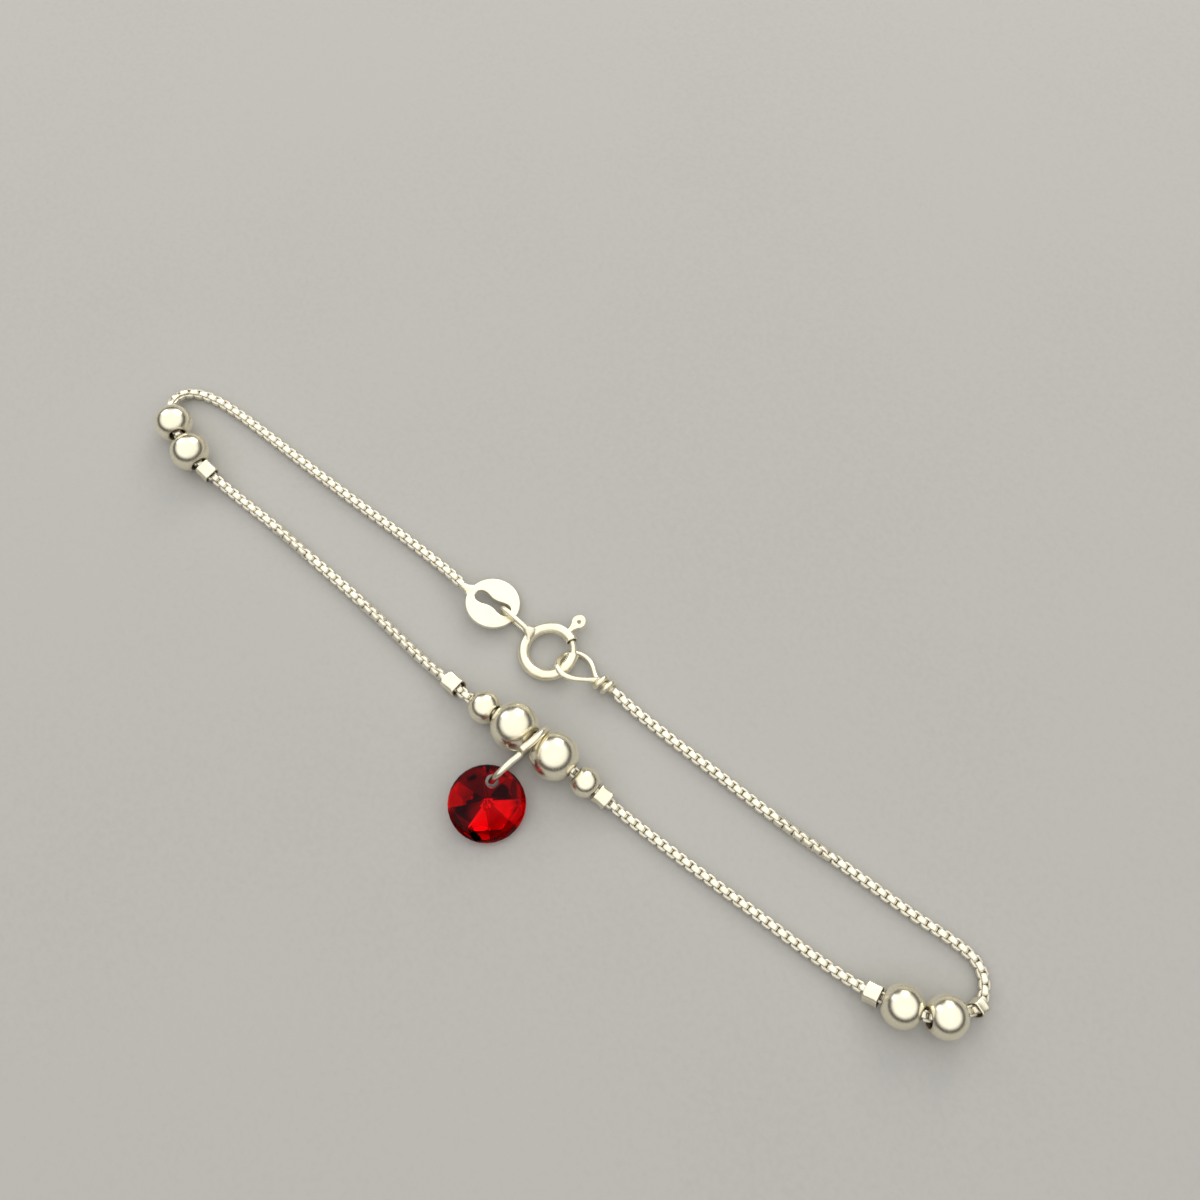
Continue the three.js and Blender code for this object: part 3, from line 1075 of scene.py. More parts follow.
@dataclass
class LinkShape:
    """One link of the box chain: a flat band bent into a rounded square."""

    side: float = 1.0
    thickness: float = 0.22
    band: float = 0.56
    corner: float = 0.27
    least_corner: float = 0.06
    corner_steps: int = 3
    edge: float = 0.05
    edge_recess: float = 0.15
    inner_recess: float = 0.95

    def outline(self, inset: float, y: float) -> list[Vector]:
        """Rounded square at a place along the band's width.

        Args:
            inset: how far it is drawn in from the link's outside.
            y: the place.

        Returns:
            Points once round.
        """
        radius = max(self.least_corner, self.corner - inset)
        reach = self.side / 2 - inset - radius
        found = []
        for quarter, (side_x, side_z) in enumerate(((1, 1), (-1, 1), (-1, -1), (1, -1))):
            for step in range(self.corner_steps):
                angle = (quarter + step / (self.corner_steps - 1)) * math.pi / 2
                x = side_x * reach + radius * math.cos(angle)
                found.append(Vector((x, y, side_z * reach + radius * math.sin(angle))))
        return found

    def draft(self) -> MeshDraft:
        """The link about its middle: open along Y, its length along X.

        Returns:
            Its draft.
        """
        half = self.band / 2
        front = [
            (self.thickness, -half, self.inner_recess),
            (self.edge, -half, self.edge_recess),
            (0.0, -half + self.edge, 0.0),
        ]
        section = front + [(inset, -y, recess) for inset, y, recess in reversed(front)]
        rows = [self.outline(inset, y) for inset, y, _ in section]
        return MeshDraft().add_grid(rows, [recess for _, _, recess in section])


class LinkRecipe(NodeRecipe):
    """Box-chain links along a route, each turned a quarter from the one before."""

    def __init__(self) -> None:
        """Builds the tree."""
        floats = dict.fromkeys(("Link Pitch", "Loose Roll", "Tone Spread"), "NodeSocketFloat")
        super().__init__("Box chain links", {**floats, "Link": "NodeSocketObject", "Seed": "NodeSocketInt"})
        inputs = {"Curve": self.path("Z_UP"), "Length": self.given("Link Pitch")}
        stops = self.node("GeometryNodeCurveToPoints", {"mode": "LENGTH"}, inputs)
        facing = self.signal(
            "FunctionNodeAxesToRotation",
            {"primary_axis": "X", "secondary_axis": "Z"},
            {0: Signal(self, stops.outputs["Tangent"]), 1: UP},
        )
        spin = self.signal(
            "FunctionNodeAxisAngleToRotation", inputs={"Axis": (1.0, 0.0, 0.0), "Angle": self.link_roll()}
        )
        turned = self.signal("FunctionNodeRotateRotation", {"rotation_space": "LOCAL"}, {0: facing, 1: spin})
        inputs = {"Object": self.given("Link"), "As Instance": True}
        link = self.signal("GeometryNodeObjectInfo", inputs=inputs, output="Geometry")
        placed = self.signal(
            "GeometryNodeInstanceOnPoints",
            inputs={"Points": Signal(self, stops.outputs[0]), "Instance": link, "Rotation": turned},
        )
        tone = self.layer("warmth") + self.drawn(0.0, self.given("Tone Spread"), 1)
        toned = self.signal(
            "GeometryNodeStoreNamedAttribute",
            {"data_type": "FLOAT", "domain": "INSTANCE"},
            {"Geometry": placed, "Name": "tone", "Value": tone},
        )
        self.close(toned)

    def drawn(self, low: Signal | float, high: Signal, shift: int) -> Signal:
        """A random value for each link, between two limits."""
        inputs = {2: low, 3: high, "Seed": self.given("Seed") + shift}
        return self.signal("FunctionNodeRandomValue", {"data_type": "FLOAT"}, inputs, 1)

    def link_roll(self) -> Signal:
        """Roll of each link about the route: a quarter turn every second link, the lie, and play.

        Returns:
            The roll in radians.
        """
        quarter = self.signal("GeometryNodeInputIndex") % 2.0 * (math.pi / 2)
        play = self.given("Loose Roll")
        return quarter + self.layer("lie") + self.drawn(play * -1.0, play, 0)


@dataclass
class BoxChain:
    """The chain: single links along the route, with the stretches that lie on an edge."""

    route: ChainRoute
    palette: Palette
    pitch: float = 0.53
    route_step: float = 0.25
    loose_roll: float = 0.05
    tone_spread: float = 0.25
    seed: int = 11
    edge_lie: float = math.pi / 4
    edge_lift: float = 0.05
    blend: float = 1.2
    front_limit: Span = (-6.5, 1.5)
    front_stretches: tuple[Span, ...] = ((-31.0, -26.6), (-18.7, -7.2))
    back_line: float = 6.0
    back_stretches: tuple[Span, ...] = ((26.5, 32.2),)
    dull_tone: float = 0.5
    dull_from_x: Span = (47.6, 49.0)
    dull_to_y: Span = (4.6, 5.4)

    def lie_at(self, point: Vector) -> float:
        """Roll of the chain at a point of its route.

        Args:
            point: the point.

        Returns:
            The roll in radians.
        """
        if point.x < self.front_limit[0] and point.y < self.front_limit[1]:
            stretches = self.front_stretches
        elif point.y > self.back_line:
            stretches = self.back_stretches
        else:
            return 0.0
        share = 0.0
        for low, high in stretches:
            rising = smooth_step(low - self.blend, low + self.blend, point.x)
            falling = smooth_step(high - self.blend, high + self.blend, point.x)
            share = max(share, rising * (1 - falling))
        return self.edge_lie * share

    def warmth_at(self, point: Vector) -> float:
        """How dull the chain is at a point of its route: it darkens at the right bend."""
        share = smooth_step(*self.dull_from_x, point.x) * (1 - smooth_step(*self.dull_to_y, point.y))
        return self.dull_tone * share

    def build(self) -> None:
        """Builds the links as one piece."""
        points = self.route.curve.sampled(self.route_step)
        lies = [self.lie_at(point) for point in points]
        raised = [
            point + UP * (self.edge_lift * math.sin(2 * lie)) for point, lie in zip(points, lies, strict=True)
        ]
        warmth = [self.warmth_at(point) for point in points]
        chain = path_object("box_chain_links", raised, lie=lies, warmth=warmth)
        link = LinkShape().draft().piece("single_link")
        values = {
            "Link Pitch": self.pitch * METRES,
            "Link": link,
            "Loose Roll": self.loose_roll,
            "Tone Spread": self.tone_spread,
            "Seed": self.seed,
            "Finish": self.palette[Slot.CHAIN],
        }
        LinkRecipe().run(chain, values)
        bpy.data.objects.remove(link)
        hand_over(chain, "box_chain")


# ------------------------------------------------------------------------------ beads and crimps


@dataclass
class Bead:
    """A round bead, drilled through, with rolled lips at both mouths."""

    name: str
    diameter: float
    bore: float
    lip: float = 0.13
    lip_depth: float = 0.55
    lip_height: float = 0.5
    lip_steps: tuple[Span, ...] = ((60, 0.35), (30, 0.5), (0, 0.7))
    bore_steps: tuple[float, ...] = (0.7, 0.35, 0.0, -0.35, -0.7)
    rim_from: float = 0.82
    rim_recess: float = 0.25
    reach_share: float = 0.45
    arc_steps: int = 44
    sides: int = 72

    def outline(self) -> list[tuple[float, float, float]]:
        """Section of the bead, up the outside and down the bore.

        Returns:
            Radius, height and recess of each point.
        """
        radius, bore = self.diameter / 2, self.bore / 2
        mouth = math.acos((bore + self.lip) / radius)
        outside = []
        for share in spaced(-1, 1, self.arc_steps):
            rim = smooth_step(self.rim_from, 1.0, abs(share)) * self.rim_recess
            outside.append((radius * math.cos(mouth * share), radius * math.sin(mouth * share), rim))
        top = radius * math.sin(mouth) - self.lip * self.lip_depth
        upper = []
        for degrees, recess in self.lip_steps:
            roll = math.radians(degrees)
            height = top + self.lip * self.lip_height * math.sin(roll)
            upper.append((bore + self.lip * (1 - math.cos(roll)), height, recess))
        inside = [(bore, top * share, 1.0) for share in self.bore_steps]
        lower = [(edge, -height, recess) for edge, height, recess in reversed(upper)]
        return outside + upper + inside + lower

    def build(self, route: ChainRoute, palette: Palette) -> None:
        """Builds the bead at its place on the chain.

        Args:
            route: the chain's route.
            palette: the materials.
        """
        middle, axis = route.seat(self.name, self.reach_share * self.diameter)
        outline = self.outline()
        turns = once_round(self.sides)
        rows = [[polar(radius, turn, height) for turn in turns] for radius, height, _ in outline]
        draft = MeshDraft().add_grid(rows, [recess for _, _, recess in outline])
        draft.placed(lengthwise_frame(middle, axis, UP))
        bead = draft.piece(f"{self.name}_polished", palette[Slot.BEAD], TURNED_EDGE_DEGREES)
        hand_over(bead, self.name)


@dataclass
class Crimp:
    """A short tube pressed flat on four sides round the chain."""

    name: str
    length: float
    width: float = 1.8
    height: float = 1.8
    bore: float = 1.4
    lip: float = 0.06
    press: float = 0.05
    outer_squareness: float = 4.2
    lip_squareness: float = 3.6
    bore_squareness: float = 2.3
    wall_steps: int = 8
    lip_steps: tuple[Point, ...] = ((0.35, 0.25, 0.1), (1.0, 0.0, 0.3), (1.8, 0.1, 0.5))
    bore_steps: tuple[float, ...] = (0.86, 0.4, 0.0, -0.4, -0.86)
    bore_slack: float = 0.01
    sides: int = 48

    def ring(self, half_x: float, half_y: float, squareness: float, z: float) -> list[Vector]:
        """Rounded rectangle at a height along the crimp.

        Args:
            half_x: half the width.
            half_y: half the height.
            squareness: 2 for an ellipse, and more for a squarer section.
            z: place along the crimp.

        Returns:
            Points once round.
        """
        found = []
        for angle in once_round(self.sides):
            c, s = math.cos(angle), math.sin(angle)
            size = (abs(c / half_x) ** squareness + abs(s / half_y) ** squareness) ** (-1 / squareness)
            found.append(Vector((size * c, size * s, z)))
        return found

    def draft(self) -> MeshDraft:
        """The crimp about its middle, its length along Z.

        Returns:
            Its draft.
        """
        half, half_x, half_y = self.length / 2, self.width / 2, self.height / 2
        rows = []
        recess = []
        for share in spaced(-1, 1, self.wall_steps):
            pressed = 1 - self.press * (1 - share * share)
            z = share * (half - self.lip)
            rows.append(self.ring(half_x * pressed, half_y * pressed, self.outer_squareness, z))
            recess.append(0.0)
        lips = {}
        for end in (1, -1):
            lips[end] = [
                self.ring(
                    half_x - inset * self.lip,
                    half_y - inset * self.lip,
                    self.lip_squareness,
                    end * (half - back * self.lip),
                )
                for inset, back, _ in self.lip_steps
            ]
        inner = self.bore / 2 + self.bore_slack
        bore = [self.ring(inner, inner, self.bore_squareness, share * half) for share in self.bore_steps]
        lip_recess = [value for _, _, value in self.lip_steps]
        rows += lips[1] + bore + lips[-1][::-1]
        recess += lip_recess + [1.0] * len(bore) + lip_recess[::-1]
        return MeshDraft().add_grid(rows, recess)

    def build(self, route: ChainRoute, palette: Palette) -> None:
        """Builds the crimp at its place on the chain.

        Args:
            route: the chain's route.
            palette: the materials.
        """
        middle, axis = route.seat(self.name, self.length / 2)
        turn = UP.rotation_difference(axis).to_matrix().to_4x4()
        draft = self.draft().placed(Matrix.Translation(middle) @ turn)
        crimp = draft.piece(f"{self.name}_pressed", palette[Slot.CRIMP], TURNED_EDGE_DEGREES)
        hand_over(crimp, self.name)


THREADED: tuple[Bead | Crimp, ...] = (
    Bead("left_bead_1", 3.85, 1.6),
    Bead("left_bead_2", 3.95, 1.6),
    Crimp("left_crimp", 1.5, 2.05, 1.75),
    Crimp("center_crimp_left", 1.75),
    Bead("center_small_bead_left", 3.2, 1.5),
    Bead("center_big_bead_left", 4.65, 1.6),
    Bead("center_big_bead_right", 4.65, 1.6),
    Bead("center_small_bead_right", 2.9, 1.5),
    Crimp("center_crimp_right", 1.4),
    Crimp("right_crimp", 1.4),
    Bead("right_bead_1", 3.95, 1.6),
    Bead("right_bead_2", 3.95, 1.6),
    Crimp("end_crimp", 1.0, 1.55, 1.55, 1.34),
)


# ------------------------------------------------------------------------------ clasp


@dataclass
class Tag:
    """Round tag with a waisted slot, and the solder that holds the chain's first link."""

    palette: Palette
    diameter: float = 5.44
    thickness: float = 0.45
    edge: float = 0.1
    center: Point = (-8.4, 7.6, 1.02)
    tilt_degrees: Point = (-8.0, 2.5, 7.4)
    rim_steps: int = 112
    slot_steps: int = 88
    lobe_radius: float = 0.66
    lobe_x: float = 1.34
    waist: float = 0.43
    waist_flare: Span = (0.15, 1.15)
    solder_recess: float = 0.1
    solder_sides: int = 24
    solder: tuple[Point, ...] = (
        (0.75, 0.9, 0.16), (0.3, 0.95, 0.24), (0.0, 0.72, 0.3), (-0.25, 0.5, 0.34),
        (-0.5, 0.42, 0.36), (-0.8, 0.4, 0.37), (-1.05, 0.36, 0.34), (-1.2, 0.22, 0.2),
    )

    def place(self) -> Matrix:
        """Where the tag lies."""
        return tilted(self.center, self.tilt_degrees)

    def slot_outline(self) -> list[Vector]:
        """The slot: two round lobes that run into a narrower waist.

        Returns:
            Points once round.
        """
        found = []
        for angle in once_round(self.slot_steps):
            x = (self.lobe_x + self.lobe_radius) * math.cos(angle)
            past = abs(x) - self.lobe_x
            if past > 0:
                half = math.sqrt(max(0.0, self.lobe_radius**2 - past**2))
            else:
                half = self.waist + (self.lobe_radius - self.waist) * smooth_step(*self.waist_flare, abs(x))
            found.append(Vector((x, math.copysign(half, math.sin(angle)), 0)))
        return found

    def build(self) -> None:
        """Builds the tag and the solder that flows from its rim over the first link."""
        disc = [polar(self.diameter / 2, angle) for angle in once_round(self.rim_steps)]
        draft = rounded_plate(disc, self.slot_outline(), self.thickness, self.edge)
        rows = []
        for x, half_y, half_z in self.solder:
            rows.append(upright_ring((x - self.diameter / 2, 0, 0), half_y, half_z, self.solder_sides))
        draft.add_loft(rows, self.solder_recess).placed(self.place())
        hand_over(draft.piece("tag_plate", self.palette[Slot.CLASP]), "clasp_tag")


@dataclass
class SpringRing:
    """Hollow ring with its lever slot, its raised mouth collar and its soldered wire eye."""

    palette: Palette
    wires: WireRecipe
    center: Point = (-0.92, 7.2, 0.87)
    tilt_degrees: Span = (4.0, -5.0)
    radius: float = 2.47
    tube: float = 1.15
    bore: float = 0.88
    tube_sides: int = 36
    outer_steps: int = 92
    inner_steps: int = 60
    mouth_degrees: Span = (28.0, 60.0)
    collar: tuple[Span, ...] = ((0.25, 0.93), (0.8, 1.0), (1.6, 1.035), (5.0, 1.035), (6.4, 1.0))
    rim_degrees: float = 1.0
    rim: tuple[Point, ...] = ((0.4, 0.985, 0.1), (0.0, 0.93, 0.3))
    inner_rim_degrees: float = 0.6
    inner_rim: float = 0.03
    inner_recess: Span = (0.6, 0.9)
    slot_degrees: Span = (75.5, 129.5)
    slot_width: float = 0.78
    slot_steps: int = 14
    eye_wire: float = 0.52
    eye_swell: float = 0.25
    eye_swell_from: Span = (0.36, 0.5)
    eye: tuple[Point, ...] = (
        (-3.3, 7.5, 0.98), (-3.6, 7.53, 1.2), (-3.95, 7.57, 1.36), (-4.9, 7.62, 1.5), (-6.5, 7.72, 1.5),
        (-7.1, 7.76, 1.32), (-7.36, 7.78, 0.89), (-7.1, 7.76, 0.46), (-6.5, 7.72, 0.28),
        (-4.9, 7.62, 0.27), (-3.95, 7.57, 0.29), (-3.6, 7.55, 0.38), (-3.3, 7.5, 0.64),
    )
    solder_recess: float = 0.12
    solder_sides: int = 28
    solder: tuple[tuple[Point, float, float], ...] = (
        ((-4.55, 7.6, 1.42), 0.2, 0.2), ((-4.2, 7.59, 1.3), 0.3, 0.3), ((-3.85, 7.57, 1.12), 0.46, 0.46),
        ((-3.5, 7.55, 0.97), 0.68, 0.56), ((-3.25, 7.49, 0.9), 0.92, 0.53), ((-3.0, 7.42, 0.87), 0.98, 0.3),
    )

    def place(self) -> Matrix:
        """Where the ring lies."""
        return tilted(self.center, self.tilt_degrees)

    def section(self, degrees: float, reach: float) -> list[Vector]:
        """One ring of points round the tube's line.

        Args:
            degrees: where it stands round the ring.
            reach: its radius.

        Returns:
            Points once round.
        """
        angle = math.radians(degrees)
        turns = once_round(self.tube_sides)
        return [polar(self.radius + reach * math.cos(t), angle, reach * math.sin(t)) for t in turns]

    def tube_draft(self) -> MeshDraft:
        """The hollow tube from one end of the mouth the long way round to the other.

        Returns:
            Its draft about the ring's middle.
        """
        start, end = self.mouth_degrees[1], self.mouth_degrees[0] + 360
        outer, inner = self.tube / 2, self.bore / 2
        near, far = start + self.inner_rim_degrees, end - self.inner_rim_degrees
        collar_end = start + self.collar[-1][0]
        steps = [(start + turn, outer * girth, 0.0) for turn, girth in self.collar]
        steps += [(a, outer, 0.0) for a in spaced(collar_end, end - self.rim_degrees, self.outer_steps)[1:]]
        steps += [(end - turn, outer * girth, recess) for turn, girth, recess in self.rim]
        lip_recess, bore_recess = self.inner_recess
        steps += [(end, inner + self.inner_rim, lip_recess), (far, inner, bore_recess)]
        steps += [(a, inner, 1.0) for a in spaced(far, near, self.inner_steps)[1:-1]]
        steps += [(near, inner, bore_recess), (start, inner + self.inner_rim, lip_recess)]
        rows = [self.section(degrees, reach) for degrees, reach, _ in steps]
        return MeshDraft().add_grid(rows, [recess for _, _, recess in steps])

    def slot_draft(self) -> MeshDraft:
        """The space of the lever's slot, on the outer side of the tube.

        Returns:
            Its draft about the ring's middle.
        """
        low, high = (math.radians(degrees) for degrees in self.slot_degrees)
        half = self.slot_width / 2
        near, far = self.radius, self.radius + 1
        corners = ((near, -half), (far, -half), (far, half), (near, half))
        rows = [[polar(r, a, z) for r, z in corners] for a in spaced(low, high, self.slot_steps)]
        return MeshDraft().add_loft(rows)

    def eye_girth(self, share: float) -> float:
        """Times the eye wire's thickness: fuller at both roots."""
        return 1 + self.eye_swell * smooth_step(*self.eye_swell_from, abs(share - 0.5))

    def build(self) -> None:
        """Builds the ring, with the long wire eye through the tag's slot and the solder at its root."""
        silver = self.palette[Slot.CLASP]
        tube = self.tube_draft().placed(self.place()).piece("uncut_tube")
        cut_away(tube, self.slot_draft().placed(self.place()).piece("slot_cutter"))
        path = CentripetalCurve(self.eye).sampled(WIRE_STEP)
        eye = self.wires.draw("eye_wire", path, self.eye_wire, silver, self.eye_girth)
        rows = [upright_ring(middle, y, z, self.solder_sides) for middle, y, z in self.solder]
        draft = MeshDraft().take(tube).take(eye).add_loft(rows, self.solder_recess)
        hand_over(draft.piece("spring_ring_body", silver), "spring_ring")


@dataclass
class Lever:
    """The bolt that shuts the ring's mouth, with its stem and pierced knob."""

    ring: SpringRing
    bolt: float = 0.58
    bolt_degrees: Span = (18.0, 100.0)
    bolt_sides: int = 28
    stem: float = 0.55
    stem_degrees: float = 82.5
    stem_root: float = -0.05
    stem_profile: tuple[Span, ...] = ((0.9, 0.0), (0.9, 0.45), (1.0, 0.8))
    knob: float = 1.45
    knob_start_degrees: float = -52.0
    knob_thickness: float = 0.6
    knob_edge: float = 0.12
    knob_radius: float = 4.17
    hole: float = 0.34
    hole_shift: Span = (0.05, -0.03)
    hole_sides: int = 20
    steps: int = 40

    def knob_outline(self) -> list[Vector]:
        """Stem and knob in one outline, the stem's root at the bolt.

        Returns:
            Points once round.
        """
        root = self.ring.radius + self.stem_root
        stem = [Vector((self.stem / 2 * width, root + height, 0)) for width, height in self.stem_profile]
        start = math.radians(self.knob_start_degrees)
        middle = Vector((0, self.knob_radius, 0))
        knob = [polar(self.knob / 2, a) + middle for a in spaced(start, math.pi - start, self.steps)]
        return stem + knob + [Vector((-point.x, point.y, 0)) for point in reversed(stem)]

    def build(self) -> None:
        """Builds the lever."""
        ring = self.ring
        silver = ring.palette[Slot.CLASP]
        low, high = (math.radians(degrees) for degrees in self.bolt_degrees)
        path = [ring.place() @ polar(ring.radius, angle) for angle in spaced(low, high, self.steps)]
        bolt = ring.wires.draw("bolt_wire", path, self.bolt, silver, sides=self.bolt_sides)
        middle = Vector((self.hole_shift[0], self.knob_radius + self.hole_shift[1], 0))
        hole = [polar(self.hole / 2, -angle) + middle for angle in once_round(self.hole_sides)]
        plate = rounded_plate(self.knob_outline(), hole, self.knob_thickness, self.knob_edge)
        turn = Matrix.Rotation(math.radians(self.stem_degrees - 90), 4, "Z")
        draft = MeshDraft().take(bolt).add_draft(plate.placed(ring.place() @ turn))
        hand_over(draft.piece("lever_bolt_and_knob", silver), "clasp_lever", LEVER)


# ------------------------------------------------------------------------------ wire parts


@dataclass
class WireLoop:
    """The loop that the clasp hooks, with its strands bound by two slanting wraps."""

    palette: Palette
    wires: WireRecipe
    wire: float = 0.56
    stem: float = 0.8
    stem_recess: float = 0.4
    stem_steps: int = 8
    wrap_wire: float = 0.58
    wrap_radius: float = 0.62
    wrap_pitch: float = 0.85
    wrap_turns: float = 2.0
    wrap_steps: int = 64
    stem_near: Point = (4.72, 7.82, 0.95)
    stem_far: Point = (6.48, 7.9, 0.93)
    bend: tuple[Point, ...] = (
        (3.9, 6.95, 1.45), (2.9, 6.15, 1.95), (1.9, 5.87, 2.15), (1.02, 6.2, 1.95),
        (0.58, 6.95, 1.3), (0.5, 7.75, 0.62), (0.72, 8.45, 0.36), (1.35, 8.92, 0.3), (2.2, 9.07, 0.42),
        (2.97, 8.93, 0.6), (3.65, 8.55, 0.72), (4.2, 8.12, 0.8),
    )

    def wrap_points(self) -> list[Vector]:
        """Path of the wraps round the stem.

        Returns:
            The points in order.
        """
        near, far = Vector(self.stem_near), Vector(self.stem_far)
        along = (far - near).normalized()
        side = UP.cross(along).normalized()
        up = along.cross(side)
        middle = (near + far) / 2
        found = []
        for share in spaced(0, 1, self.wrap_steps):
            turned = TAU * self.wrap_turns * share
            along_way = self.wrap_pitch * self.wrap_turns * (share - 0.5)
            off = -self.wrap_radius * (side * math.sin(turned) + up * math.cos(turned))
            found.append(middle + along * along_way + off)
        return found

    def build(self) -> None:
        """Builds the wire loop."""
        silver = self.palette[Slot.WIRE]
        near, far = Vector(self.stem_near), Vector(self.stem_far)
        loop = CentripetalCurve([self.stem_near, *self.bend, self.stem_near]).sampled(WIRE_STEP)
        stem = [near.lerp(far, share) for share in spaced(0, 1, self.stem_steps)]
        draft = MeshDraft()
        draft.take(self.wires.draw("loop_wire", loop, self.wire, silver))
        draft.take(self.wires.draw("stem_wire", stem, self.stem, silver, recess=self.stem_recess))
        draft.take(self.wires.draw("wrap_wire", self.wrap_points(), self.wrap_wire, silver))
        hand_over(draft.piece("wound_wire_loop", silver), "wire_loop")


@dataclass
class JumpRing:
    """Long oval ring with a cut in one strand."""

    palette: Palette
    wires: WireRecipe
    length: float = 7.15
    height: float = 3.9
    wire: float = 0.56
    steps: int = 110
    cut: float = 0.12
    cut_shift: float = 0.09
    cut_from: float = 0.93
    near_swell: float = 0.15
    near_swell_from: Span = (0.3, 0.24)
    far_swell: float = 0.3
    far_swell_from: Span = (0.78, 0.9)
    far_end: Point = (4.32, 0.65, 2.45)
    near_end: Point = (3.5, -6.45, 2.42)
    leaning: Point = (0.21, 0.0, 0.98)

    def oval_at(self, travelled: float) -> Vector:
        """Point of an oval with straight sides, in its own plane.

        Args:
            travelled: distance from the middle of the upper side.

        Returns:
            The point.
        """
        radius = self.height / 2
        half = (self.length - self.height) / 2
        arc = math.pi * radius
        side = 1 if travelled < 2 * half + arc else -1
        rest = travelled % (2 * half + arc)
        if rest < half:
            return side * Vector((rest, radius, 0))
        if rest < half + arc:
            angle = (rest - half) / radius
            return side * Vector((half + radius * math.sin(angle), radius * math.cos(angle), 0))
        return side * Vector((2 * half + arc - rest, -radius, 0))

    def oval_points(self) -> list[Vector]:
        """Path of the oval in its own plane, from its cut once round to the cut again.

        Returns:
            The points in order.
        """
        perimeter = 2 * (self.length - self.height) + math.pi * self.height
        gap = (self.cut + self.wires.dome_reach * self.wire) / 2
        found = []
        for share in spaced(0, 1, self.steps):
            shift = smooth_step(self.cut_from, 1.0, share) - smooth_step(self.cut_from, 1.0, 1 - share)
            found.append(self.oval_at(gap + (perimeter - 2 * gap) * share) + UP * (self.cut_shift * shift))
        return found

    def girth(self, share: float) -> float:
        """Times the wire's thickness: fuller towards the cut, most of all at its far side."""
        near = self.near_swell * smooth_step(*self.near_swell_from, share)
        return 1 + near + self.far_swell * smooth_step(*self.far_swell_from, share)

    def place(self) -> Matrix:
        """Where the ring hangs.

        Returns:
            The placing matrix, with the oval's length along local X.
        """
        far, near = Vector(self.far_end), Vector(self.near_end)
        along = (near - far).normalized()
        across = along.cross(Vector(self.leaning)).normalized()
        turn = Matrix((along, across.cross(along), across)).transposed().to_4x4()
        return Matrix.Translation((far + near) / 2) @ turn

    def build(self) -> None:
        """Builds the jump ring."""
        place = self.place()
        path = [place @ point for point in self.oval_points()]
        ring = self.wires.draw("jump_ring_wire", path, self.wire, self.palette[Slot.WIRE], self.girth)
        hand_over(ring, "jump_ring")


# ------------------------------------------------------------------------------ crystal


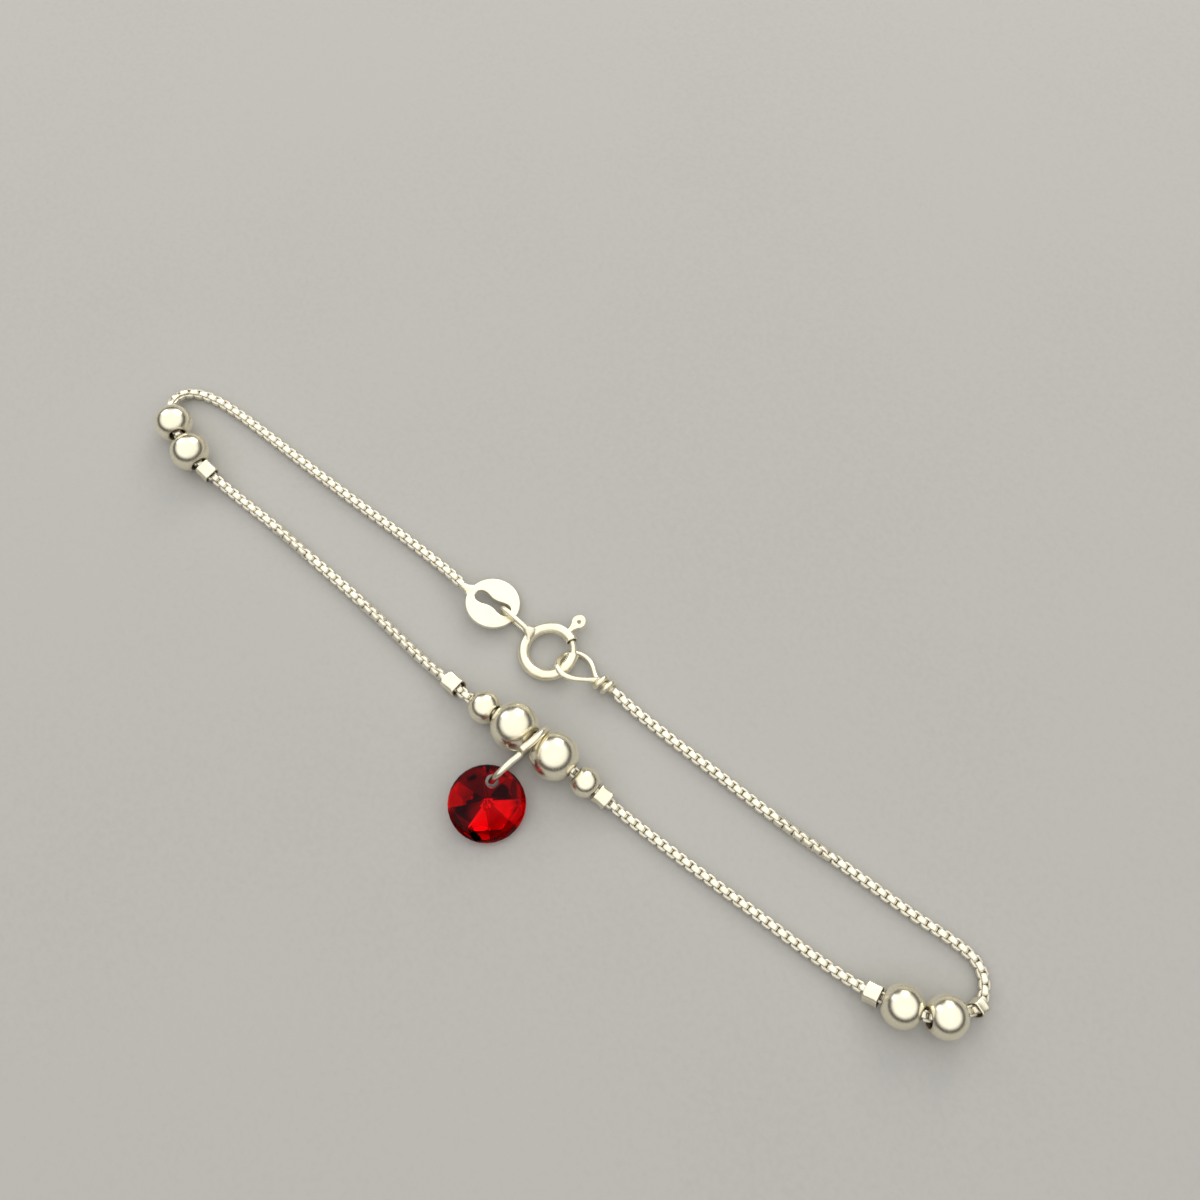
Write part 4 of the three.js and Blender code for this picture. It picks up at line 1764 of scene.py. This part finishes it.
@dataclass
class CrystalDrop:
    """Round cut stone, blunt-pointed front and back, with a drilled hole near its rim."""

    palette: Palette
    hang_point: Point
    diameter: float = 7.25
    thickness: float = 3.3
    girdle: float = 0.5
    hole: float = 1.25
    hole_offset: float = 2.2
    hole_sides: int = 56
    drill_reach: float = 3.0
    center: Point = (4.4, -8.26, 1.74)
    axis: Point = (0.33, -0.2, 0.92)
    main_facets: int = 8
    main_lean: float = 0.94
    rim_facets: int = 16
    rim_lean: float = 1.62
    start_degrees: float = 40.5
    facet_edge: float = 7.8
    rub: float = 0.025
    rub_degrees: float = 9.0
    back_limit: float = -0.5
    main_limit: float = -0.88
    # Painted reflection brightness of each back facet, round the stone: 1 is a painted bright reflection, low
    # values a painted dark one.
    main_painted_reflections: tuple[float, ...] = (0.45, 0.35, 0.2, 0.6, 0.2, 1.0, 0.5, 1.0)
    rim_painted_reflections: tuple[float, ...] = (
        0.6, 0.3, 0.25, 0.3, 0.5, 0.3, 0.9, 0.8, 0.3, 0.15, 0.5, 0.7, 0.3, 0.9, 1.0, 1.0,
    )

    def place(self) -> Matrix:
        """Where the stone lies: its axis is local Z, and the hole is towards local Y."""
        center = Vector(self.center)
        return lengthwise_frame(center, Vector(self.axis), Vector(self.hang_point) - center)

    def grind(self, work: bmesh.types.BMesh, normal: Vector, distance: float) -> None:
        """Grinds away what lies beyond a plane, and closes the stone again.

        Args:
            work: the stone.
            normal: outward direction of the new facet.
            distance: its distance from the middle of the stone.
        """
        unit = normal.normalized()
        geometry = work.verts[:] + work.edges[:] + work.faces[:]
        done = bmesh.ops.bisect_plane(
            work, geom=geometry, dist=1e-5, plane_co=unit * distance, plane_no=unit, clear_outer=True
        )
        edges = [item for item in done["geom_cut"] if isinstance(item, bmesh.types.BMEdge)]
        if edges:
            bmesh.ops.contextual_create(work, geom=edges)

    def stone(self) -> MeshDraft:
        """The cut stone about its middle, undrilled.

        Returns:
            Its draft.
        """
        radius, half, edge = self.diameter / 2, self.thickness / 2, self.girdle / 2
        sides = self.rim_facets * 2
        blank = radius / math.cos(math.pi / sides)
        work = bmesh.new()
        bmesh.ops.create_cone(
            work, cap_ends=True, segments=sides, radius1=blank, radius2=blank, depth=self.thickness
        )
        slope = math.atan2(half - edge, radius)
        start = math.radians(self.start_degrees)
        crown = (
            (self.main_facets, 0.0, slope * self.main_lean, 0.0, half),
            (self.rim_facets, 0.5, slope * self.rim_lean, radius, edge),
        )
        for side in (1, -1):
            for count, shift, lean, reach, height in crown:
                for k in range(count):
                    angle = start + TAU * (k + shift) / count
                    normal = polar(math.sin(lean), angle, math.cos(lean))
                    distance = normal.dot(polar(reach, angle, height))
                    self.grind(work, Vector((normal.x, normal.y, side * normal.z)), distance)
        return MeshDraft().add_bmesh(work)

    def painted_reflection(self, normal: Vector) -> float:
        """Painted reflection brightness of a facet's metal back.

        Args:
            normal: the facet's outward direction in the stone's own frame.

        Returns:
            The painted brightness, or 0 where the facet is bare glass.
        """
        if normal.z > self.back_limit:
            return 0.0
        turn = (math.degrees(math.atan2(normal.y, normal.x)) - self.start_degrees) / 360
        if normal.z < self.main_limit:
            return self.main_painted_reflections[round(turn * self.main_facets) % self.main_facets]
        return self.rim_painted_reflections[math.floor(turn * self.rim_facets) % self.rim_facets]

    def build(self) -> None:
        """Builds the crystal: cut, drilled, with its edges rubbed and painted reflections on its back facets.
        """
        middle = Vector((0, self.hole_offset, 0))
        rows = []
        for z in (-self.drill_reach, self.drill_reach):
            rows.append([polar(self.hole / 2, angle, z) + middle for angle in once_round(self.hole_sides)])
        drill = MeshDraft().add_loft(rows).placed(self.place()).piece("drill")
        stone = self.stone().placed(self.place()).piece("undrilled_stone", None, self.facet_edge)
        cut_away(stone, drill)
        rub = stone.modifiers.new("rubbed_edges", "BEVEL")
        rub.width = self.rub * METRES
        rub.segments = 1
        rub.limit_method = "ANGLE"
        rub.angle_limit = math.radians(self.rub_degrees)
        apply_modifiers(stone)
        draft = MeshDraft().take(stone)
        crystal = draft.piece("cut_crystal_drop", self.palette[Slot.CRYSTAL], self.facet_edge)
        upright = self.place().to_3x3().transposed()
        # Each back facet gets its painted reflection brightness from the tables above.
        painted_reflections = [self.painted_reflection(upright @ face.normal) for face in crystal.data.polygons]
        crystal.data.attributes.new("back_shade", "FLOAT", "FACE").data.foreach_set("value", painted_reflections)
        hand_over(crystal, "crystal_drop")


# ------------------------------------------------------------------------------ studio


def aim(thing: bpy.types.Object, place: Point, way: Sequence[float]) -> None:
    """Stands a light or a camera at a place in millimetres, facing one way."""
    thing.location = Vector(place) * METRES
    thing.rotation_euler = Vector(way).to_track_quat("-Z", "Y").to_euler()


@dataclass(frozen=True)
class Lamp:
    """A soft square light that faces the bracelet."""

    name: str
    place: Point
    side: float
    power: float
    colour: Colour

    def build(self) -> None:
        """Hangs the light."""
        light = bpy.data.lights.new(self.name, "AREA")
        light.shape = "SQUARE"
        light.size = self.side * METRES
        light.energy = self.power
        light.color = self.colour
        aim(add_object(self.name, light), self.place, -Vector(self.place))


@dataclass
class Studio:
    """Pale floor, soft light and the camera."""

    floor_half: float = 900.0
    camera_place: Point = (30.5, -24.2, 120.5)
    camera_way: Point = (-0.2382, 0.2995, -0.9239)
    lens: float = 39.0
    sensor: float = 36.0
    nearest: float = 1.0
    farthest: float = 10000.0
    sky: tuple[Span, ...] = ((0.0, 0.04), (0.29, 0.05), (0.50, 1.15), (1.0, 1.22))
    sky_tint: Colour = (1.0, 0.985, 0.95)
    lamps: tuple[Lamp, ...] = (
        Lamp("key_light", (-120, 340, 190), 200, 0.4, (1.0, 0.95, 0.82)),
        Lamp("side_fill", (-300, 40, 160), 160, 0.12, (0.98, 0.97, 0.95)),
    )

    def build_floor(self) -> None:
        """Lays the floor under the bracelet."""
        ends = (-self.floor_half, self.floor_half)
        rows = [[Vector((x, y, 0)) for x in ends] for y in ends]
        draft = MeshDraft().add_grid(rows, closed_rows=False, closed_columns=False)
        floor = draft.piece("floor_board", FloorFinish("pale_board").material())

    def build_world(self) -> None:
        """Fills the room with light that is brighter overhead than at the horizon."""
        world = bpy.data.worlds.new("studio")
        world.use_nodes = True
        bpy.context.scene.world = world
        room = Graph(world.node_tree)
        way = room.signal("ShaderNodeTexCoord", output="Generated")
        height = room.signal("ShaderNodeSeparateXYZ", inputs={0: way}, output="Z")
        stops = [(share, tuple(level * tint for tint in self.sky_tint)) for share, level in self.sky]
        colour = room.signal("ShaderNodeValToRGB", {"stops": stops}, {0: height})
        room.feed(room.tree.nodes["Background"], "Color", colour)

    def build_camera(self) -> None:
        """Sets the camera."""
        camera = bpy.data.cameras.new("camera")
        camera.lens = self.lens
        camera.sensor_width = self.sensor
        camera.clip_start = self.nearest * METRES
        camera.clip_end = self.farthest * METRES
        stand = add_object("camera", camera)
        aim(stand, self.camera_place, self.camera_way)
        bpy.context.scene.camera = stand

    def build(self) -> None:
        """Builds the whole studio."""
        bpy.context.scene.view_settings.view_transform = "Standard"
        self.build_camera()
        self.build_floor()
        self.build_world()
        for lamp in self.lamps:
            lamp.build()


# ------------------------------------------------------------------------------ assembly


def main() -> None:
    """Builds the studio and every piece of the bracelet."""
    logging.basicConfig(level=logging.INFO, format="%(name)s: %(message)s", stream=sys.stdout)
    Studio().build()
    palette = {slot: finish.material() for slot, finish in FINISHES.items()}
    wires = WireRecipe()
    route = ChainRoute()
    BoxChain(route, palette).build()
    for part in THREADED:
        part.build(route, palette)
    Tag(palette).build()
    ring = SpringRing(palette, wires)
    ring.build()
    Lever(ring).build()
    WireLoop(palette, wires).build()
    jump_ring = JumpRing(palette, wires)
    jump_ring.build()
    CrystalDrop(palette, jump_ring.near_end).build()


if __name__ == "__main__":
    main()
